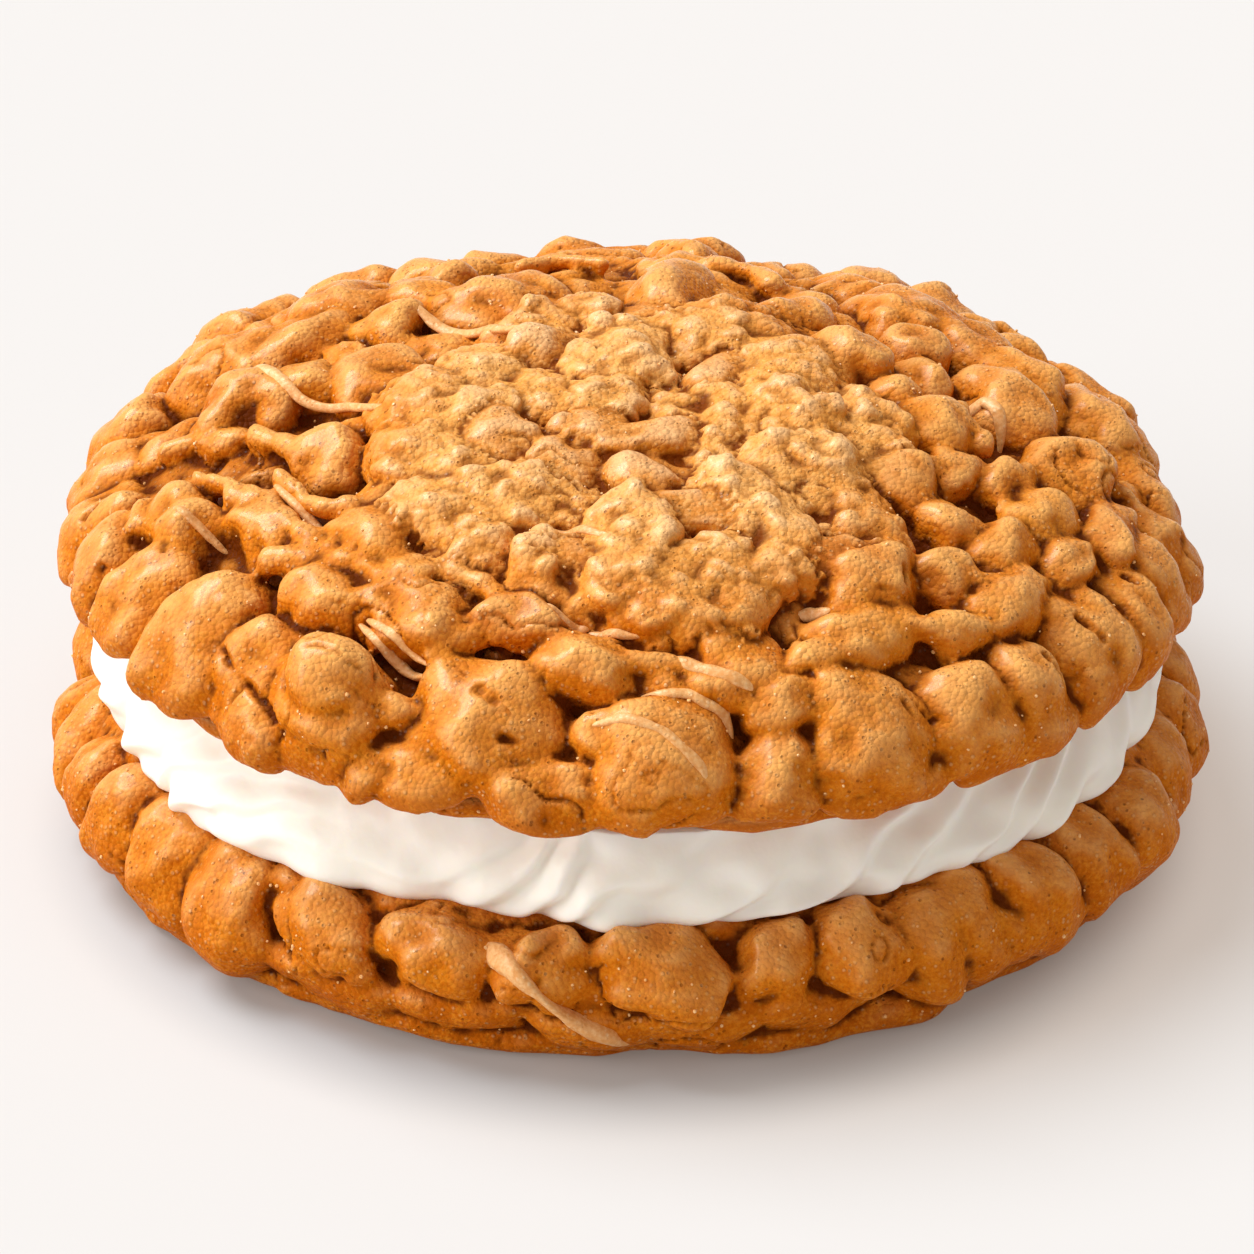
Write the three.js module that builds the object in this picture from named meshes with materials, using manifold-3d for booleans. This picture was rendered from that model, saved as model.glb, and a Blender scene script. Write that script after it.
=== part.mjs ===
// An oatmeal cream pie: two thick, lumpy oatmeal cookies with a layer of white cream between them.
// Millimetres, +Z up. The origin is on the table, under the middle of the pie.
// Angles are in degrees, anticlockwise from +X, so 270 is the front, where the biggest lobes are.
import * as THREE from "three";
import { mergeVertices } from "three/addons/utils/BufferGeometryUtils.js";
import Module from "manifold-3d";

const wasm = await Module();
wasm.setup();

// Driving sizes.
const bottomRadius = 50; // over the lobes
const bottomHeight = 12.1; // table to the bed that the cream lies on
const bottomWidest = 5.5; // height of the bottom cookie's widest level
const bedRadius = 43;
const footRadius = 40; // flat underside that the pie rests on
const creamThickness = 7.6;
const creamRadius = 46.2;
const topRadius = 48.4; // over the lobes
const topWidest = 3.4; // above the top cookie's underside
const topUndersideRadius = 43.5;
const domeHeight = 17.2; // above the widest level
const domePower = 1.9; // 2 would be an ellipse; less makes the shoulder slope more
const topTilt = 1.1; // the top cookie leans down towards +X
const gap = 0.3; // left between the cream and each cookie
const rimInset = 3.0; // depth of the creases between the rim's lobes
const crownInset = 1.8; // depth of the creases between the crown's lumps
const edgeTurn = 1; // a cookie's rounded edge starts to turn this far inside its underside's rim
const hiddenStep = 1; // the fine surface starts this far inside the cream and the foot

const spacing = 1.9; // between neighbouring points of the dough's surface
const domeSteps = 160;
const edgeSteps = 24;

const doughColour = 0xc98442;
const creamColour = 0xf8f1e4;
const degrees = Math.PI / 180;

// A profile is a line of [radius, height] points from the middle of the top to the middle of the underside.
// Its reach is the distance along it to each point.
function measured(points) {
  const reach = [0];
  for (let i = 1; i < points.length; i++) {
    const [r0, z0] = points[i - 1];
    const [r1, z1] = points[i];
    reach.push(reach[i - 1] + Math.hypot(r1 - r0, z1 - z0));
  }
  return { points, reach, length: reach[reach.length - 1] };
}

// Quarter of a superellipse, from straight above its centre, or below it where up is negative, to its side.
function quarter(centreR, centreZ, across, up, power, steps) {
  const points = [];
  for (let i = 0; i <= steps; i++) {
    const t = (i / steps) * (Math.PI / 2);
    points.push([centreR + across * Math.sin(t) ** (2 / power), centreZ + up * Math.cos(t) ** (2 / power)]);
  }
  return points;
}

// The rounded edge under a cookie's widest level, from its side to a flat underside at height 0.
function lowerEdge(sideRadius, undersideRadius, height) {
  const centre = undersideRadius - edgeTurn;
  const edge = quarter(centre, height, sideRadius - centre, -height, 2, edgeSteps);
  return edge.reverse().slice(1);
}

// The place at a distance along a profile, and the direction in which the profile runs there.
function along({ points, reach, length }, distance) {
  const at = THREE.MathUtils.clamp(distance, 0, length);
  let low = 0;
  let high = reach.length - 1;
  while (high - low > 1) {
    const middle = (low + high) >> 1;
    if (reach[middle] <= at) low = middle;
    else high = middle;
  }
  const step = reach[high] - reach[low];
  const dr = (points[high][0] - points[low][0]) / step;
  const dz = (points[high][1] - points[low][1]) / step;
  const past = at - reach[low];
  return { r: points[low][0] + past * dr, z: points[low][1] + past * dz, dr, dz };
}

// The floor of the top cookie's creases: a dome, a rounded edge and a flat underside.
const topFloorRadius = topRadius - rimInset;
const topProfile = measured([
  ...quarter(0, topWidest, topFloorRadius, domeHeight - crownInset, domePower, domeSteps),
  ...lowerEdge(topFloorRadius, topUndersideRadius, topWidest),
  [0, 0],
]);
const topEquator = topProfile.reach[domeSteps];

// The floor of the bottom cookie's creases: a flat bed, a rounded rim and a flat underside.
const bottomFloorRadius = bottomRadius - rimInset;
const shoulder = [bottomFloorRadius - bedRadius, bottomHeight - bottomWidest];
const bottomProfile = measured([
  [0, bottomHeight],
  ...quarter(bedRadius, bottomWidest, ...shoulder, 2, edgeSteps),
  ...lowerEdge(bottomFloorRadius, footRadius, bottomWidest),
  [0, 0],
]);
const rimLength = bottomProfile.length - bedRadius - footRadius;

// A repeatable draw from 0 to 1.
function draw(index, kind) {
  const wave = Math.sin(index * 12.9898 + kind * 78.233) * 43758.5453;
  return wave - Math.floor(wave);
}

function pick([low, high], index, kind) {
  return low + (high - low) * draw(index, kind);
}

// A lump of dough on a profile: where its middle is, its directions round, down and out of the cookie,
// and its half sizes. It rises from lift at its outline to lift + rise at its middle.
const overlap = 1.06; // neighbouring lumps run into each other by this much
function lump(profile, angle, distance, halfWidth, halfLength, rise, lift = 0, turn = 0) {
  const { r, z, dr, dz } = along(profile, distance);
  const c = Math.cos(angle * degrees);
  const s = Math.sin(angle * degrees);
  return {
    middle: new THREE.Vector3(r * c, r * s, z),
    round: new THREE.Vector3(-s, c, 0),
    down: new THREE.Vector3(dr * c, dr * s, dz),
    out: new THREE.Vector3(-dz * c, -dz * s, dr),
    halfWidth: halfWidth * overlap,
    halfLength: halfLength * overlap,
    rise,
    lift,
    cosTurn: Math.cos(turn),
    sinTurn: Math.sin(turn),
  };
}

// 0 at a lump's middle and 1 at its outline.
const away = new THREE.Vector3();
function offCentre(each, point) {
  away.copy(point).sub(each.middle);
  const u = away.dot(each.round);
  const v = away.dot(each.down);
  const w = away.dot(each.out);
  const a = (u * each.cosTurn + v * each.sinTurn) / each.halfWidth;
  const b = (v * each.cosTurn - u * each.sinTurn) / each.halfLength;
  return Math.sqrt(a * a + b * b + (w / each.halfLength) ** 2);
}

// Moves a point sideways by slow waves, so that no lump keeps a plain oval outline.
const waveReach = 0.8;
function wavy({ x, y, z }) {
  return new THREE.Vector3(
    x + waveReach * Math.sin(0.62 * y + 1.3 * Math.sin(0.41 * z + 0.5 * x)),
    y + waveReach * Math.sin(0.57 * x + 1.1 * Math.sin(0.47 * y + 2)),
    z + 0.5 * waveReach * Math.sin(0.66 * y + 0.9 * Math.sin(0.52 * x + 0.7)),
  );
}

// How far the dough stands above the crease floor at a point: each lump is a flattened pillow,
// the highest one shows, and where two meet they blend a little.
const pillowPower = 2.5;
const blend = 0.5;
function relief(lumps, floorPoint) {
  const point = wavy(floorPoint);
  let first = 0;
  let second = 0;
  for (const each of lumps) {
    const height = each.lift + each.rise * (1 - offCentre(each, point) ** pillowPower);
    if (height > first) {
      second = first;
      first = height;
    } else if (height > second) second = height;
  }
  const near = Math.max(blend - (first - second), 0);
  return first + (near * near) / (4 * blend);
}

// Lobes along the front of the top rim, left to right, with the smaller lumps pressed into them:
// [angle, share of the way from the crown to the widest level, half width, half length, rise, lift].
const topLobes = [
  [188, 0.93, 3.9, 6.0, 3.2],
  [197, 0.93, 3.9, 5.5, 3.3],
  [206, 0.9, 3.7, 7.0, 3.5],
  [217.5, 0.88, 5.4, 7.6, 3.8],
  [231, 0.91, 5.2, 6.5, 3.7],
  [238, 0.845, 4.2, 3.9, 3.2, 1.2],
  [238.5, 0.985, 3.6, 3.2, 3.1],
  [243.5, 0.96, 2.3, 3.6, 3.0],
  [254.5, 0.865, 6.6, 7.0, 4.0],
  [262, 0.975, 4.7, 3.2, 3.1],
  [266.3, 0.85, 2.4, 2.3, 2.8, 0.3],
  [273, 0.92, 6.0, 7.0, 4.0],
  [284, 0.94, 4.0, 4.9, 3.4],
  [294, 0.897, 5.3, 5.7, 3.8, 0.2],
  [296, 1.01, 5.8, 3.0, 2.7],
  [305.5, 0.906, 4.6, 5.4, 3.6],
  [314.5, 0.93, 4.2, 6.0, 3.4],
  [325, 0.91, 4.9, 6.5, 3.6],
  [335, 0.93, 3.9, 6.5, 3.4],
  [343, 0.94, 3.6, 6.5, 3.3],
  [351, 0.945, 3.7, 6.0, 3.3],
];

// The larger lumps between the rim and the crown, in the same terms.
const ringLumps = [
  [265, 0.75, 4.4, 3.7, 2.8],
  [281.5, 0.75, 4.0, 3.5, 2.8],
  [294, 0.77, 4.4, 2.5, 2.5],
  [304, 0.65, 5.0, 4.3, 2.6, 0.9],
  [312, 0.785, 4.2, 2.3, 2.5],
  [319, 0.785, 4.9, 2.7, 2.7],
  [323.5, 0.61, 2.8, 3.4, 2.5],
  [326.5, 0.5, 3.5, 3.3, 2.4],
  [336, 0.7, 4.2, 2.9, 2.7],
  [315, 0.695, 2.5, 2.5, 2.4],
  [351, 0.73, 4.5, 5.4, 3.1],
  [5, 0.61, 4.5, 5.8, 2.8],
  [347, 0.5, 3.7, 4.0, 2.6],
  [7.5, 0.34, 4.2, 3.9, 2.5, 1.1],
  [34, 0.54, 4.4, 4.4, 2.8],
  [180.5, 0.63, 4.3, 4.7, 3.0],
  [179.5, 0.41, 4.3, 4.1, 2.7],
  [205, 0.52, 4.2, 3.5, 2.8],
  [212.5, 0.69, 4.2, 3.5, 2.7],
  [203, 0.775, 4.2, 3.1, 2.6],
  [230, 0.745, 5.0, 2.7, 2.6],
  [244, 0.72, 4.4, 3.5, 2.8],
  [257, 0.585, 3.2, 3.8, 2.3],
  [229, 0.605, 4.2, 3.5, 2.3],
  [222.5, 0.42, 5.5, 4.2, 2.1],
  [161, 0.71, 5.0, 6.6, 2.8],
  [144, 0.6, 4.6, 5.8, 2.7],
];

// Lobes round the front of the bottom cookie: [angle, share of the way down its rim, then as above].
// In front a row of thick lumps lies on a second, thinner lip.
const bottomLobes = [
  [184, 0.42, 3.4, 8.0, 3.1],
  [192, 0.42, 3.4, 8.0, 3.1],
  [199.5, 0.42, 3.1, 8.0, 3.1],
  [208, 0.42, 3.9, 8.5, 3.3],
  [217.5, 0.42, 4.0, 8.5, 3.2],
  [227, 0.42, 4.1, 8.5, 3.2],
  [239, 0.34, 5.9, 4.4, 3.4, 0.2],
  [241, 0.68, 6.2, 4.1, 2.7],
  [252, 0.34, 5.4, 4.9, 3.5, 0.2],
  [253.5, 0.68, 5.6, 4.1, 2.7],
  [262.5, 0.34, 3.6, 3.8, 3.1],
  [265, 0.68, 5.2, 4.1, 2.7],
  [272.5, 0.36, 5.7, 4.7, 3.3, 0.2],
  [276, 0.68, 5.4, 4.1, 2.7],
  [284, 0.33, 4.5, 4.0, 3.2],
  [287, 0.64, 5.2, 4.8, 2.8],
  [293, 0.34, 4.1, 4.5, 3.3, 0.2],
  [300, 0.45, 3.6, 8.5, 3.1],
  [307, 0.42, 3.2, 8.5, 3.1],
  [314, 0.42, 3.6, 8.5, 3.3],
  [323, 0.42, 4.1, 8.5, 3.2],
  [333, 0.42, 4.2, 8.5, 3.2],
  [343, 0.42, 4.2, 8.0, 3.1],
  [353, 0.42, 4.2, 8.0, 3.1],
];

// The lobes along the back of each rim, from 0 to 180 degrees, and the lumps that fill what is left of the
// top. Each pair of numbers is a range to draw from.
const topBack = { lobes: 19, share: [0.9, 0.96], wide: [3.6, 5], long: [5.6, 7.6], rise: [3, 3.6] };
const bottomBack = { lobes: 18, share: [0.38, 0.48], wide: [3.9, 5.1], long: [7.5, 9], rise: [3, 3.5] };
const filling = {
  lumps: 200,
  goldenAngle: 137.508,
  wide: [2.8, 4.6],
  stretch: [0.75, 1.25],
  rise: [1.3, 3],
  crownPart: 0.6, // how much of a lump's rise comes from its place; the crown's lumps are the lowest
};
const unevenGaps = 0.35; // of the way from one lobe to the next

function backLobes(profile, start, scale, rule, seed) {
  const lobes = [];
  for (let i = 0; i < rule.lobes; i++) {
    const angle = (180 * (i + unevenGaps * draw(i, seed))) / rule.lobes;
    const distance = start + pick(rule.share, i, seed + 1) * scale;
    const wide = pick(rule.wide, i, seed + 2);
    const long = pick(rule.long, i, seed + 3);
    const rise = pick(rule.rise, i, seed + 4);
    lobes.push(lump(profile, angle, distance, wide, long, rise));
  }
  return lobes;
}

function topLumps() {
  const lumps = [...topLobes, ...ringLumps].map(([angle, share, wide, long, rise, lift]) =>
    lump(topProfile, angle, share * topEquator, wide, long, rise, lift),
  );
  lumps.push(...backLobes(topProfile, 0, topEquator, topBack, 1));
  const placed = lumps.length;
  for (let i = 0; i < filling.lumps; i++) {
    const share = Math.sqrt((i + 0.5) / filling.lumps);
    const wide = pick(filling.wide, i, 7);
    const long = wide * pick(filling.stretch, i, 8);
    const height = filling.crownPart * share + (1 - filling.crownPart) * draw(i, 9);
    const rise = THREE.MathUtils.lerp(filling.rise[0], filling.rise[1], height);
    const angle = i * filling.goldenAngle;
    const added = lump(topProfile, angle, share * topEquator, wide, long, rise, 0, Math.PI * draw(i, 10));
    const taken = lumps.slice(0, placed).some((each) => offCentre(each, added.middle) < 1);
    if (!taken) lumps.push(added);
  }
  return lumps;
}

function bottomLumps() {
  const lumps = bottomLobes.map(([angle, share, wide, long, rise, lift]) =>
    lump(bottomProfile, angle, bedRadius + share * rimLength, wide, long, rise, lift),
  );
  return [...lumps, ...backLobes(bottomProfile, bedRadius, rimLength, bottomBack, 11)];
}

// The raised surface at an angle in radians and a distance along a profile.
function surface(profile, lumps, angle, distance) {
  const { r, z, dr, dz } = along(profile, distance);
  const c = Math.cos(angle);
  const s = Math.sin(angle);
  const point = new THREE.Vector3(r * c, r * s, z);
  const out = new THREE.Vector3(-dz * c, -dz * s, dr);
  return point.addScaledVector(out, relief(lumps, point));
}

// A closed skin of even triangles over a profile: rings of points from the middle of the top to the
// middle of the underside, as close on each ring as the spacing, and a band of triangles between rings.
class SkinGeometry extends THREE.BufferGeometry {
  constructor(profile, ringDistances, place) {
    super();
    const positions = [];
    const triangles = [];
    let inner = null;
    ringDistances.forEach((distance, row) => {
      const around = Math.round((2 * Math.PI * along(profile, distance).r) / spacing);
      const count = around < 3 ? 1 : Math.max(around, 6);
      const ring = { first: positions.length / 3, count, start: (row % 2) / (2 * count) };
      for (let i = 0; i < count; i++) {
        const angle = 2 * Math.PI * (ring.start + i / count);
        positions.push(...place(angle, distance).toArray());
      }
      if (inner) SkinGeometry.band(triangles, inner, ring);
      inner = ring;
    });
    this.setAttribute("position", new THREE.Float32BufferAttribute(positions, 3));
    this.setIndex(triangles);
  }

  // Goes once round two rings, always stepping on the ring whose next point comes first.
  static band(triangles, inner, outer) {
    const steps = (ring) => (ring.count > 1 ? ring.count : 0);
    const turnAt = (ring, i) => (ring.count > 1 ? ring.start + (i + 0.5) / ring.count : Infinity);
    let a = 0;
    let b = 0;
    while (a < steps(inner) || b < steps(outer)) {
      const onInner = a < steps(inner) && (b >= steps(outer) || turnAt(inner, a) < turnAt(outer, b));
      const fromInner = inner.first + (a % inner.count);
      const fromOuter = outer.first + (b % outer.count);
      if (onInner) {
        a++;
        triangles.push(fromInner, fromOuter, inner.first + (a % inner.count));
      } else {
        b++;
        triangles.push(fromInner, fromOuter, outer.first + (b % outer.count));
      }
    }
  }
}

// Ring distances: the given spacing where the dough shows and sparse rings on its hidden flat faces.
function ringsOver(profile, from, to) {
  const rows = Math.round((to - from) / spacing);
  const rings = [];
  if (from > 0) rings.push(0, from / 2);
  for (let i = 0; i <= rows; i++) rings.push(from + ((to - from) * i) / rows);
  rings.push((to + profile.length) / 2, profile.length);
  return rings;
}

function solid(geometry) {
  return new wasm.Manifold(
    new wasm.Mesh({
      numProp: 3,
      vertProperties: new Float32Array(geometry.attributes.position.array),
      triVerts: new Uint32Array(geometry.index.array),
    }),
  );
}

function fromSolid(body) {
  const { vertProperties, triVerts } = body.getMesh();
  const geometry = new THREE.BufferGeometry();
  geometry.setAttribute("position", new THREE.BufferAttribute(vertProperties, 3));
  geometry.setIndex(new THREE.BufferAttribute(triVerts, 1));
  return mergeVertices(geometry, 1e-3);
}

// A pulled strand of dough: a thin cord that runs over the lumps, with its ends sunk into them.
// route holds [angle, distance along the profile] pairs.
const strandSides = 6;
const endDepth = 2.2; // both in radii
const midDepth = 0.15;
function strand(profile, lumps, route, radius) {
  const last = route.length - 1;
  const points = route.map(([angle, distance], i) => {
    const { dr, dz } = along(profile, distance);
    const turned = angle * degrees;
    const out = new THREE.Vector3(-dz * Math.cos(turned), -dz * Math.sin(turned), dr);
    const sunk = i === 0 || i === last ? endDepth : midDepth;
    return surface(profile, lumps, turned, distance).addScaledVector(out, -sunk * radius);
  });
  const section = new THREE.Shape();
  for (let k = 0; k < strandSides; k++) {
    const turn = (k / strandSides) * 2 * Math.PI;
    const [x, y] = [radius * Math.cos(turn), radius * Math.sin(turn)];
    if (k) section.lineTo(x, y);
    else section.moveTo(x, y);
  }
  const geometry = new THREE.ExtrudeGeometry(section, {
    steps: 3 * last,
    bevelEnabled: false,
    extrudePath: new THREE.CatmullRomCurve3(points),
  });
  geometry.deleteAttribute("normal");
  geometry.deleteAttribute("uv");
  return solid(mergeVertices(geometry, 1e-4));
}

// The strands that stand out on the top cookie: [angle, share of the way from the crown to the widest level]
// pairs, and the radius.
const topStrands = [
  [[[149, 0.43], [151, 0.34], [155.5, 0.26], [171, 0.17]], 0.7],
  [[[173.5, 0.64], [178.5, 0.58], [185, 0.54], [191, 0.47], [204.5, 0.41]], 0.8],
  [[[206, 0.62], [213.5, 0.62], [218.5, 0.6], [222, 0.57]], 0.7],
  [[[236, 0.77], [240, 0.79], [244, 0.81], [247.5, 0.83]], 0.7],
  [[[258.5, 0.68], [261.5, 0.69], [264.5, 0.7], [271, 0.72]], 0.8],
  [[[265, 0.88], [269, 0.87], [273, 0.89], [276.5, 0.94]], 0.7],
  [[[270.5, 0.82], [276, 0.83], [279.5, 0.85], [281, 0.9]], 0.7],
  [[[360.5, 0.53], [359.5, 0.57], [353, 0.62]], 0.8],
];

// The same for the bottom cookie, with the share of the way down its rim.
const bottomStrands = [
  [[[257, 0.28], [261, 0.45], [266, 0.59], [270, 0.72]], 1.1],
];

function withStrands(geometry, profile, start, scale, lumps, strands) {
  const cords = strands.map(([shares, radius]) => {
    const route = shares.map(([angle, share]) => [angle, start + share * scale]);
    return strand(profile, lumps, route, radius);
  });
  return fromSolid(cords.reduce((joined, cord) => joined.add(cord), solid(geometry)));
}

function doughMesh(name, geometry) {
  const material = new THREE.MeshStandardMaterial({ color: doughColour, roughness: 0.6, metalness: 0 });
  const mesh = new THREE.Mesh(geometry, material);
  mesh.name = name;
  return mesh;
}

function bottomCookie() {
  const lumps = bottomLumps();
  const lastRing = bottomProfile.length - footRadius + hiddenStep;
  const rings = ringsOver(bottomProfile, bedRadius - hiddenStep, lastRing);
  const geometry = new SkinGeometry(bottomProfile, rings, (angle, distance) => {
    const point = surface(bottomProfile, lumps, angle, distance);
    return point.setZ(THREE.MathUtils.clamp(point.z, 0, bottomHeight));
  });
  const body = withStrands(geometry, bottomProfile, bedRadius, rimLength, lumps, bottomStrands);
  return doughMesh("bottom_cookie", body);
}

function topCookie() {
  const lumps = topLumps();
  const rings = ringsOver(topProfile, 0, topProfile.length - topUndersideRadius + hiddenStep);
  const geometry = new SkinGeometry(topProfile, rings, (angle, distance) => {
    const point = surface(topProfile, lumps, angle, distance);
    return point.setZ(Math.max(point.z, 0));
  });
  const body = withStrands(geometry, topProfile, 0, topEquator, lumps, topStrands);
  return doughMesh("top_cookie", body);
}

// The cream: a disc with a rounded lower lip, whose side swells into soft, slanting ripples.
const creamTurns = 144;
const creamTopInset = 2.2; // its upper rim lies this far inside its widest level
// [inset from the cream's radius, height] from the lower lip up
const creamEdge = [[1.4, 0], [0.4, 0.3], [0, 1.2], [0.1, 2.6], [0.5, 4.2], [1.1, 5.8]];
const creamSide = { from: 3, to: 0.5 }; // the ripples grow over this band inside its radius
const ripples = [
  { count: 34, height: 0.35, slant: 0.55, start: 0 },
  { count: 19, height: 0.3, slant: 0.3, start: 1 },
  { count: 7, height: 0.2, slant: 0, start: 2 },
];

function rippled(turn, z) {
  let sum = 0;
  for (const { count, height, slant, start } of ripples) {
    sum += height * Math.sin(count * turn + slant * z + start);
  }
  return sum;
}

function cream() {
  const topFace = creamThickness - 2 * gap;
  const outline = [
    new THREE.Vector2(0, 0),
    ...creamEdge.map(([inset, z]) => new THREE.Vector2(creamRadius - inset, z)),
    new THREE.Vector2(creamRadius - creamTopInset, topFace),
    new THREE.Vector2(0, topFace),
  ];
  const geometry = new THREE.LatheGeometry(outline, creamTurns).rotateX(Math.PI / 2);
  geometry.deleteAttribute("normal");
  geometry.deleteAttribute("uv");
  const position = geometry.attributes.position;
  const lean = Math.tan(topTilt * degrees) / topFace;
  for (let i = 0; i < position.count; i++) {
    const x = position.getX(i);
    const y = position.getY(i);
    const z = position.getZ(i);
    const side = THREE.MathUtils.smoothstep(
      Math.hypot(x, y),
      creamRadius - creamSide.from,
      creamRadius - creamSide.to,
    );
    const grown = 1 + (side * rippled(Math.atan2(y, x), z)) / creamRadius;
    // the upper face leans with the top cookie
    position.setXYZ(i, x * grown, y * grown, z * (1 - lean * x * grown));
  }
  const material = new THREE.MeshStandardMaterial({ color: creamColour, roughness: 0.45, metalness: 0 });
  const mesh = new THREE.Mesh(mergeVertices(geometry, 1e-4), material);
  mesh.name = "cream";
  mesh.position.z = bottomHeight + gap;
  return mesh;
}

const top = new THREE.Group();
top.position.z = bottomHeight + creamThickness;
top.rotation.y = topTilt * degrees;
top.add(topCookie());

const pie = new THREE.Group();
pie.add(bottomCookie(), cream(), top);

export default pie;
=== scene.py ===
import math
import bmesh
import bpy
import numpy as np
from mathutils import Matrix, Vector
from mathutils.bvhtree import BVHTree
from mathutils.kdtree import KDTree


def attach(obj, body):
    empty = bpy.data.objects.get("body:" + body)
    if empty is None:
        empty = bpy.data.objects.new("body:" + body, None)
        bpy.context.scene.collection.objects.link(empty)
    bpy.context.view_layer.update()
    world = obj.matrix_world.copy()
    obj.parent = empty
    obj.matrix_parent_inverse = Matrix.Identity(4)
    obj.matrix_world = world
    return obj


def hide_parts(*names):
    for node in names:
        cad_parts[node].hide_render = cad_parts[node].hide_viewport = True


# Oatmeal cream pie: two lumpy cookies round a layer of white cream.
# Shapes are worked out in millimetres and written to the meshes in metres.
# Angles are in degrees from the right, so 270 is the front. A lump's distance runs over the
# cookie from the middle of its top.

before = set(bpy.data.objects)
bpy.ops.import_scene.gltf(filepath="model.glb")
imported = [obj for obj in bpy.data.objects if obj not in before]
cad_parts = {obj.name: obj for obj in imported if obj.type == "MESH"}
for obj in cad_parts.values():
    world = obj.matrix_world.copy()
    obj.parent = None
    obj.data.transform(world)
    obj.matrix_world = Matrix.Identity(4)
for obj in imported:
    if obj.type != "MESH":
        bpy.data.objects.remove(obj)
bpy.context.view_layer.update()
mm = 0.001
rng = np.random.default_rng(41)

pie = {
    "bottomRadius": 50.0,
    "bottomHeight": 12.1,
    "bottomWidest": 5.5,
    "bedRadius": 43.0,
    "footRadius": 40.0,
    "creamThickness": 7.6,
    "creamRadius": 46.2,
    "topRadius": 48.4,
    "topWidest": 3.4,
    "topUnderside": 43.5,
    "domeHeight": 17.2,
    "domePower": 1.9,
    "domeSteps": 160,
    "domeDrop": 0.6,  # how much of an inset also lowers the dome
    "tilt": 1.1,  # the top leans down to the right
}
topPlace = Matrix.Translation((0, 0, pie["bottomHeight"] + pie["creamThickness"]))
topPlace = topPlace @ Matrix.Rotation(math.radians(pie["tilt"]), 4, "Y")
bottomPlace = Matrix.Identity(4)


# camera at the photo's angle

# target, distances and lens in mm
view = {"elevation": 29, "distance": 403.7, "target": (-0.21, 0, 13.76), "lens": 132.9, "sensor": 36,
        "nearest": 10}


def makeCamera():
    data = bpy.data.cameras.new("camera")
    camera = bpy.data.objects.new("camera", data)
    bpy.context.scene.collection.objects.link(camera)
    lift = math.radians(view["elevation"])
    look = Vector((0, math.cos(lift), -math.sin(lift)))
    camera.location = (Vector(view["target"]) - look * view["distance"]) * mm
    camera.rotation_euler = look.to_track_quat("-Z", "Y").to_euler()
    data.lens = view["lens"]
    data.sensor_width = view["sensor"]
    data.clip_start = view["nearest"] * mm
    bpy.context.scene.camera = camera


makeCamera()


# noise that is the same on each run

scramble = {"cell": np.array([127.1, 311.7, 74.7]), "salt": 53.3, "stretch": 43758.5453, "octave": 17.3}
knobForm = {"reach": 0.72, "low": 0.5, "spread": 0.8, "sharp": 8}


def hash3(cell, salt):
    wave = np.sin(cell @ scramble["cell"] + salt * scramble["salt"]) * scramble["stretch"]
    return wave - np.floor(wave)


def noise3(p, salt):
    # smooth value noise from -1 to 1
    base = np.floor(p)
    f = p - base
    f = f * f * (3 - 2 * f)
    total = np.zeros(len(p))
    for corner in np.ndindex(2, 2, 2):
        weight = np.where(corner, f, 1 - f)
        total += hash3(base + corner, salt) * weight[:, 0] * weight[:, 1] * weight[:, 2]
    return total * 2 - 1


def fractal(p, octaves, salt):
    total, amount = np.zeros(len(p)), 1.0
    for k in range(octaves):
        total += amount * noise3(p * 2 ** k + scramble["octave"] * k, salt + k)
        amount *= 0.5
    return total


def fractals(p, octaves, salt):
    # one for each axis
    return np.stack([fractal(p, octaves, salt + k) for k in range(3)], axis=1)


def cellsRound(p, salt):
    # each unit cell round p: the way to p from the point scattered in that cell, and the cell's own draw
    base = np.floor(p)
    for step in np.ndindex(3, 3, 3):
        cell = base + np.subtract(step, 1)
        spot = cell + np.stack([hash3(cell, salt + k) for k in (1, 2, 3)], axis=1)
        yield p - spot, hash3(cell, salt + 4)


def cells3(p, salt):
    # distance to the nearest scattered point, and its draw
    first = np.full(len(p), np.inf)
    owner = np.zeros(len(p))
    for way, draw in cellsRound(p, salt):
        d = np.linalg.norm(way, axis=1)
        nearer = d < first
        owner = np.where(nearer, draw, owner)
        first = np.where(nearer, d, first)
    return first, owner


def knobs3(p, salt):
    # height of round knobs of different sizes, one to a unit cell, that run softly into each other
    total, count = np.zeros(len(p)), 0
    for way, draw in cellsRound(p, salt):
        near = (way ** 2).sum(axis=1) / knobForm["reach"]
        height = knobForm["low"] + knobForm["spread"] * draw
        total += np.exp(knobForm["sharp"] * height * (1 - near).clip(0))
        count += 1
    return np.log(total / count) / knobForm["sharp"]


def smoothStep(x, low, high):
    t = np.clip((x - low) / (high - low), 0, 1)
    return t * t * (3 - 2 * t)


# profiles: radius and height from the middle of the top to the middle of the underside

def quarter(centreR, centreZ, across, up, power=2, steps=24):
    t = np.linspace(0, math.pi / 2, steps + 1)
    r = centreR + across * np.sin(t).clip(0) ** (2 / power)
    z = centreZ + up * np.cos(t).clip(0) ** (2 / power)
    return np.stack([r, z], axis=1)


def lowerEdge(side, underside, height):
    centre = underside - 1
    return quarter(centre, height, side - centre, -height)[::-1][1:]


def topLine(inset=0.0):
    side = pie["topRadius"] - inset
    height = pie["domeHeight"] - pie["domeDrop"] * inset
    dome = quarter(0, pie["topWidest"], side, height, pie["domePower"], pie["domeSteps"])
    return np.vstack([dome, lowerEdge(side, pie["topUnderside"], pie["topWidest"]), [[0, 0]]])


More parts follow.
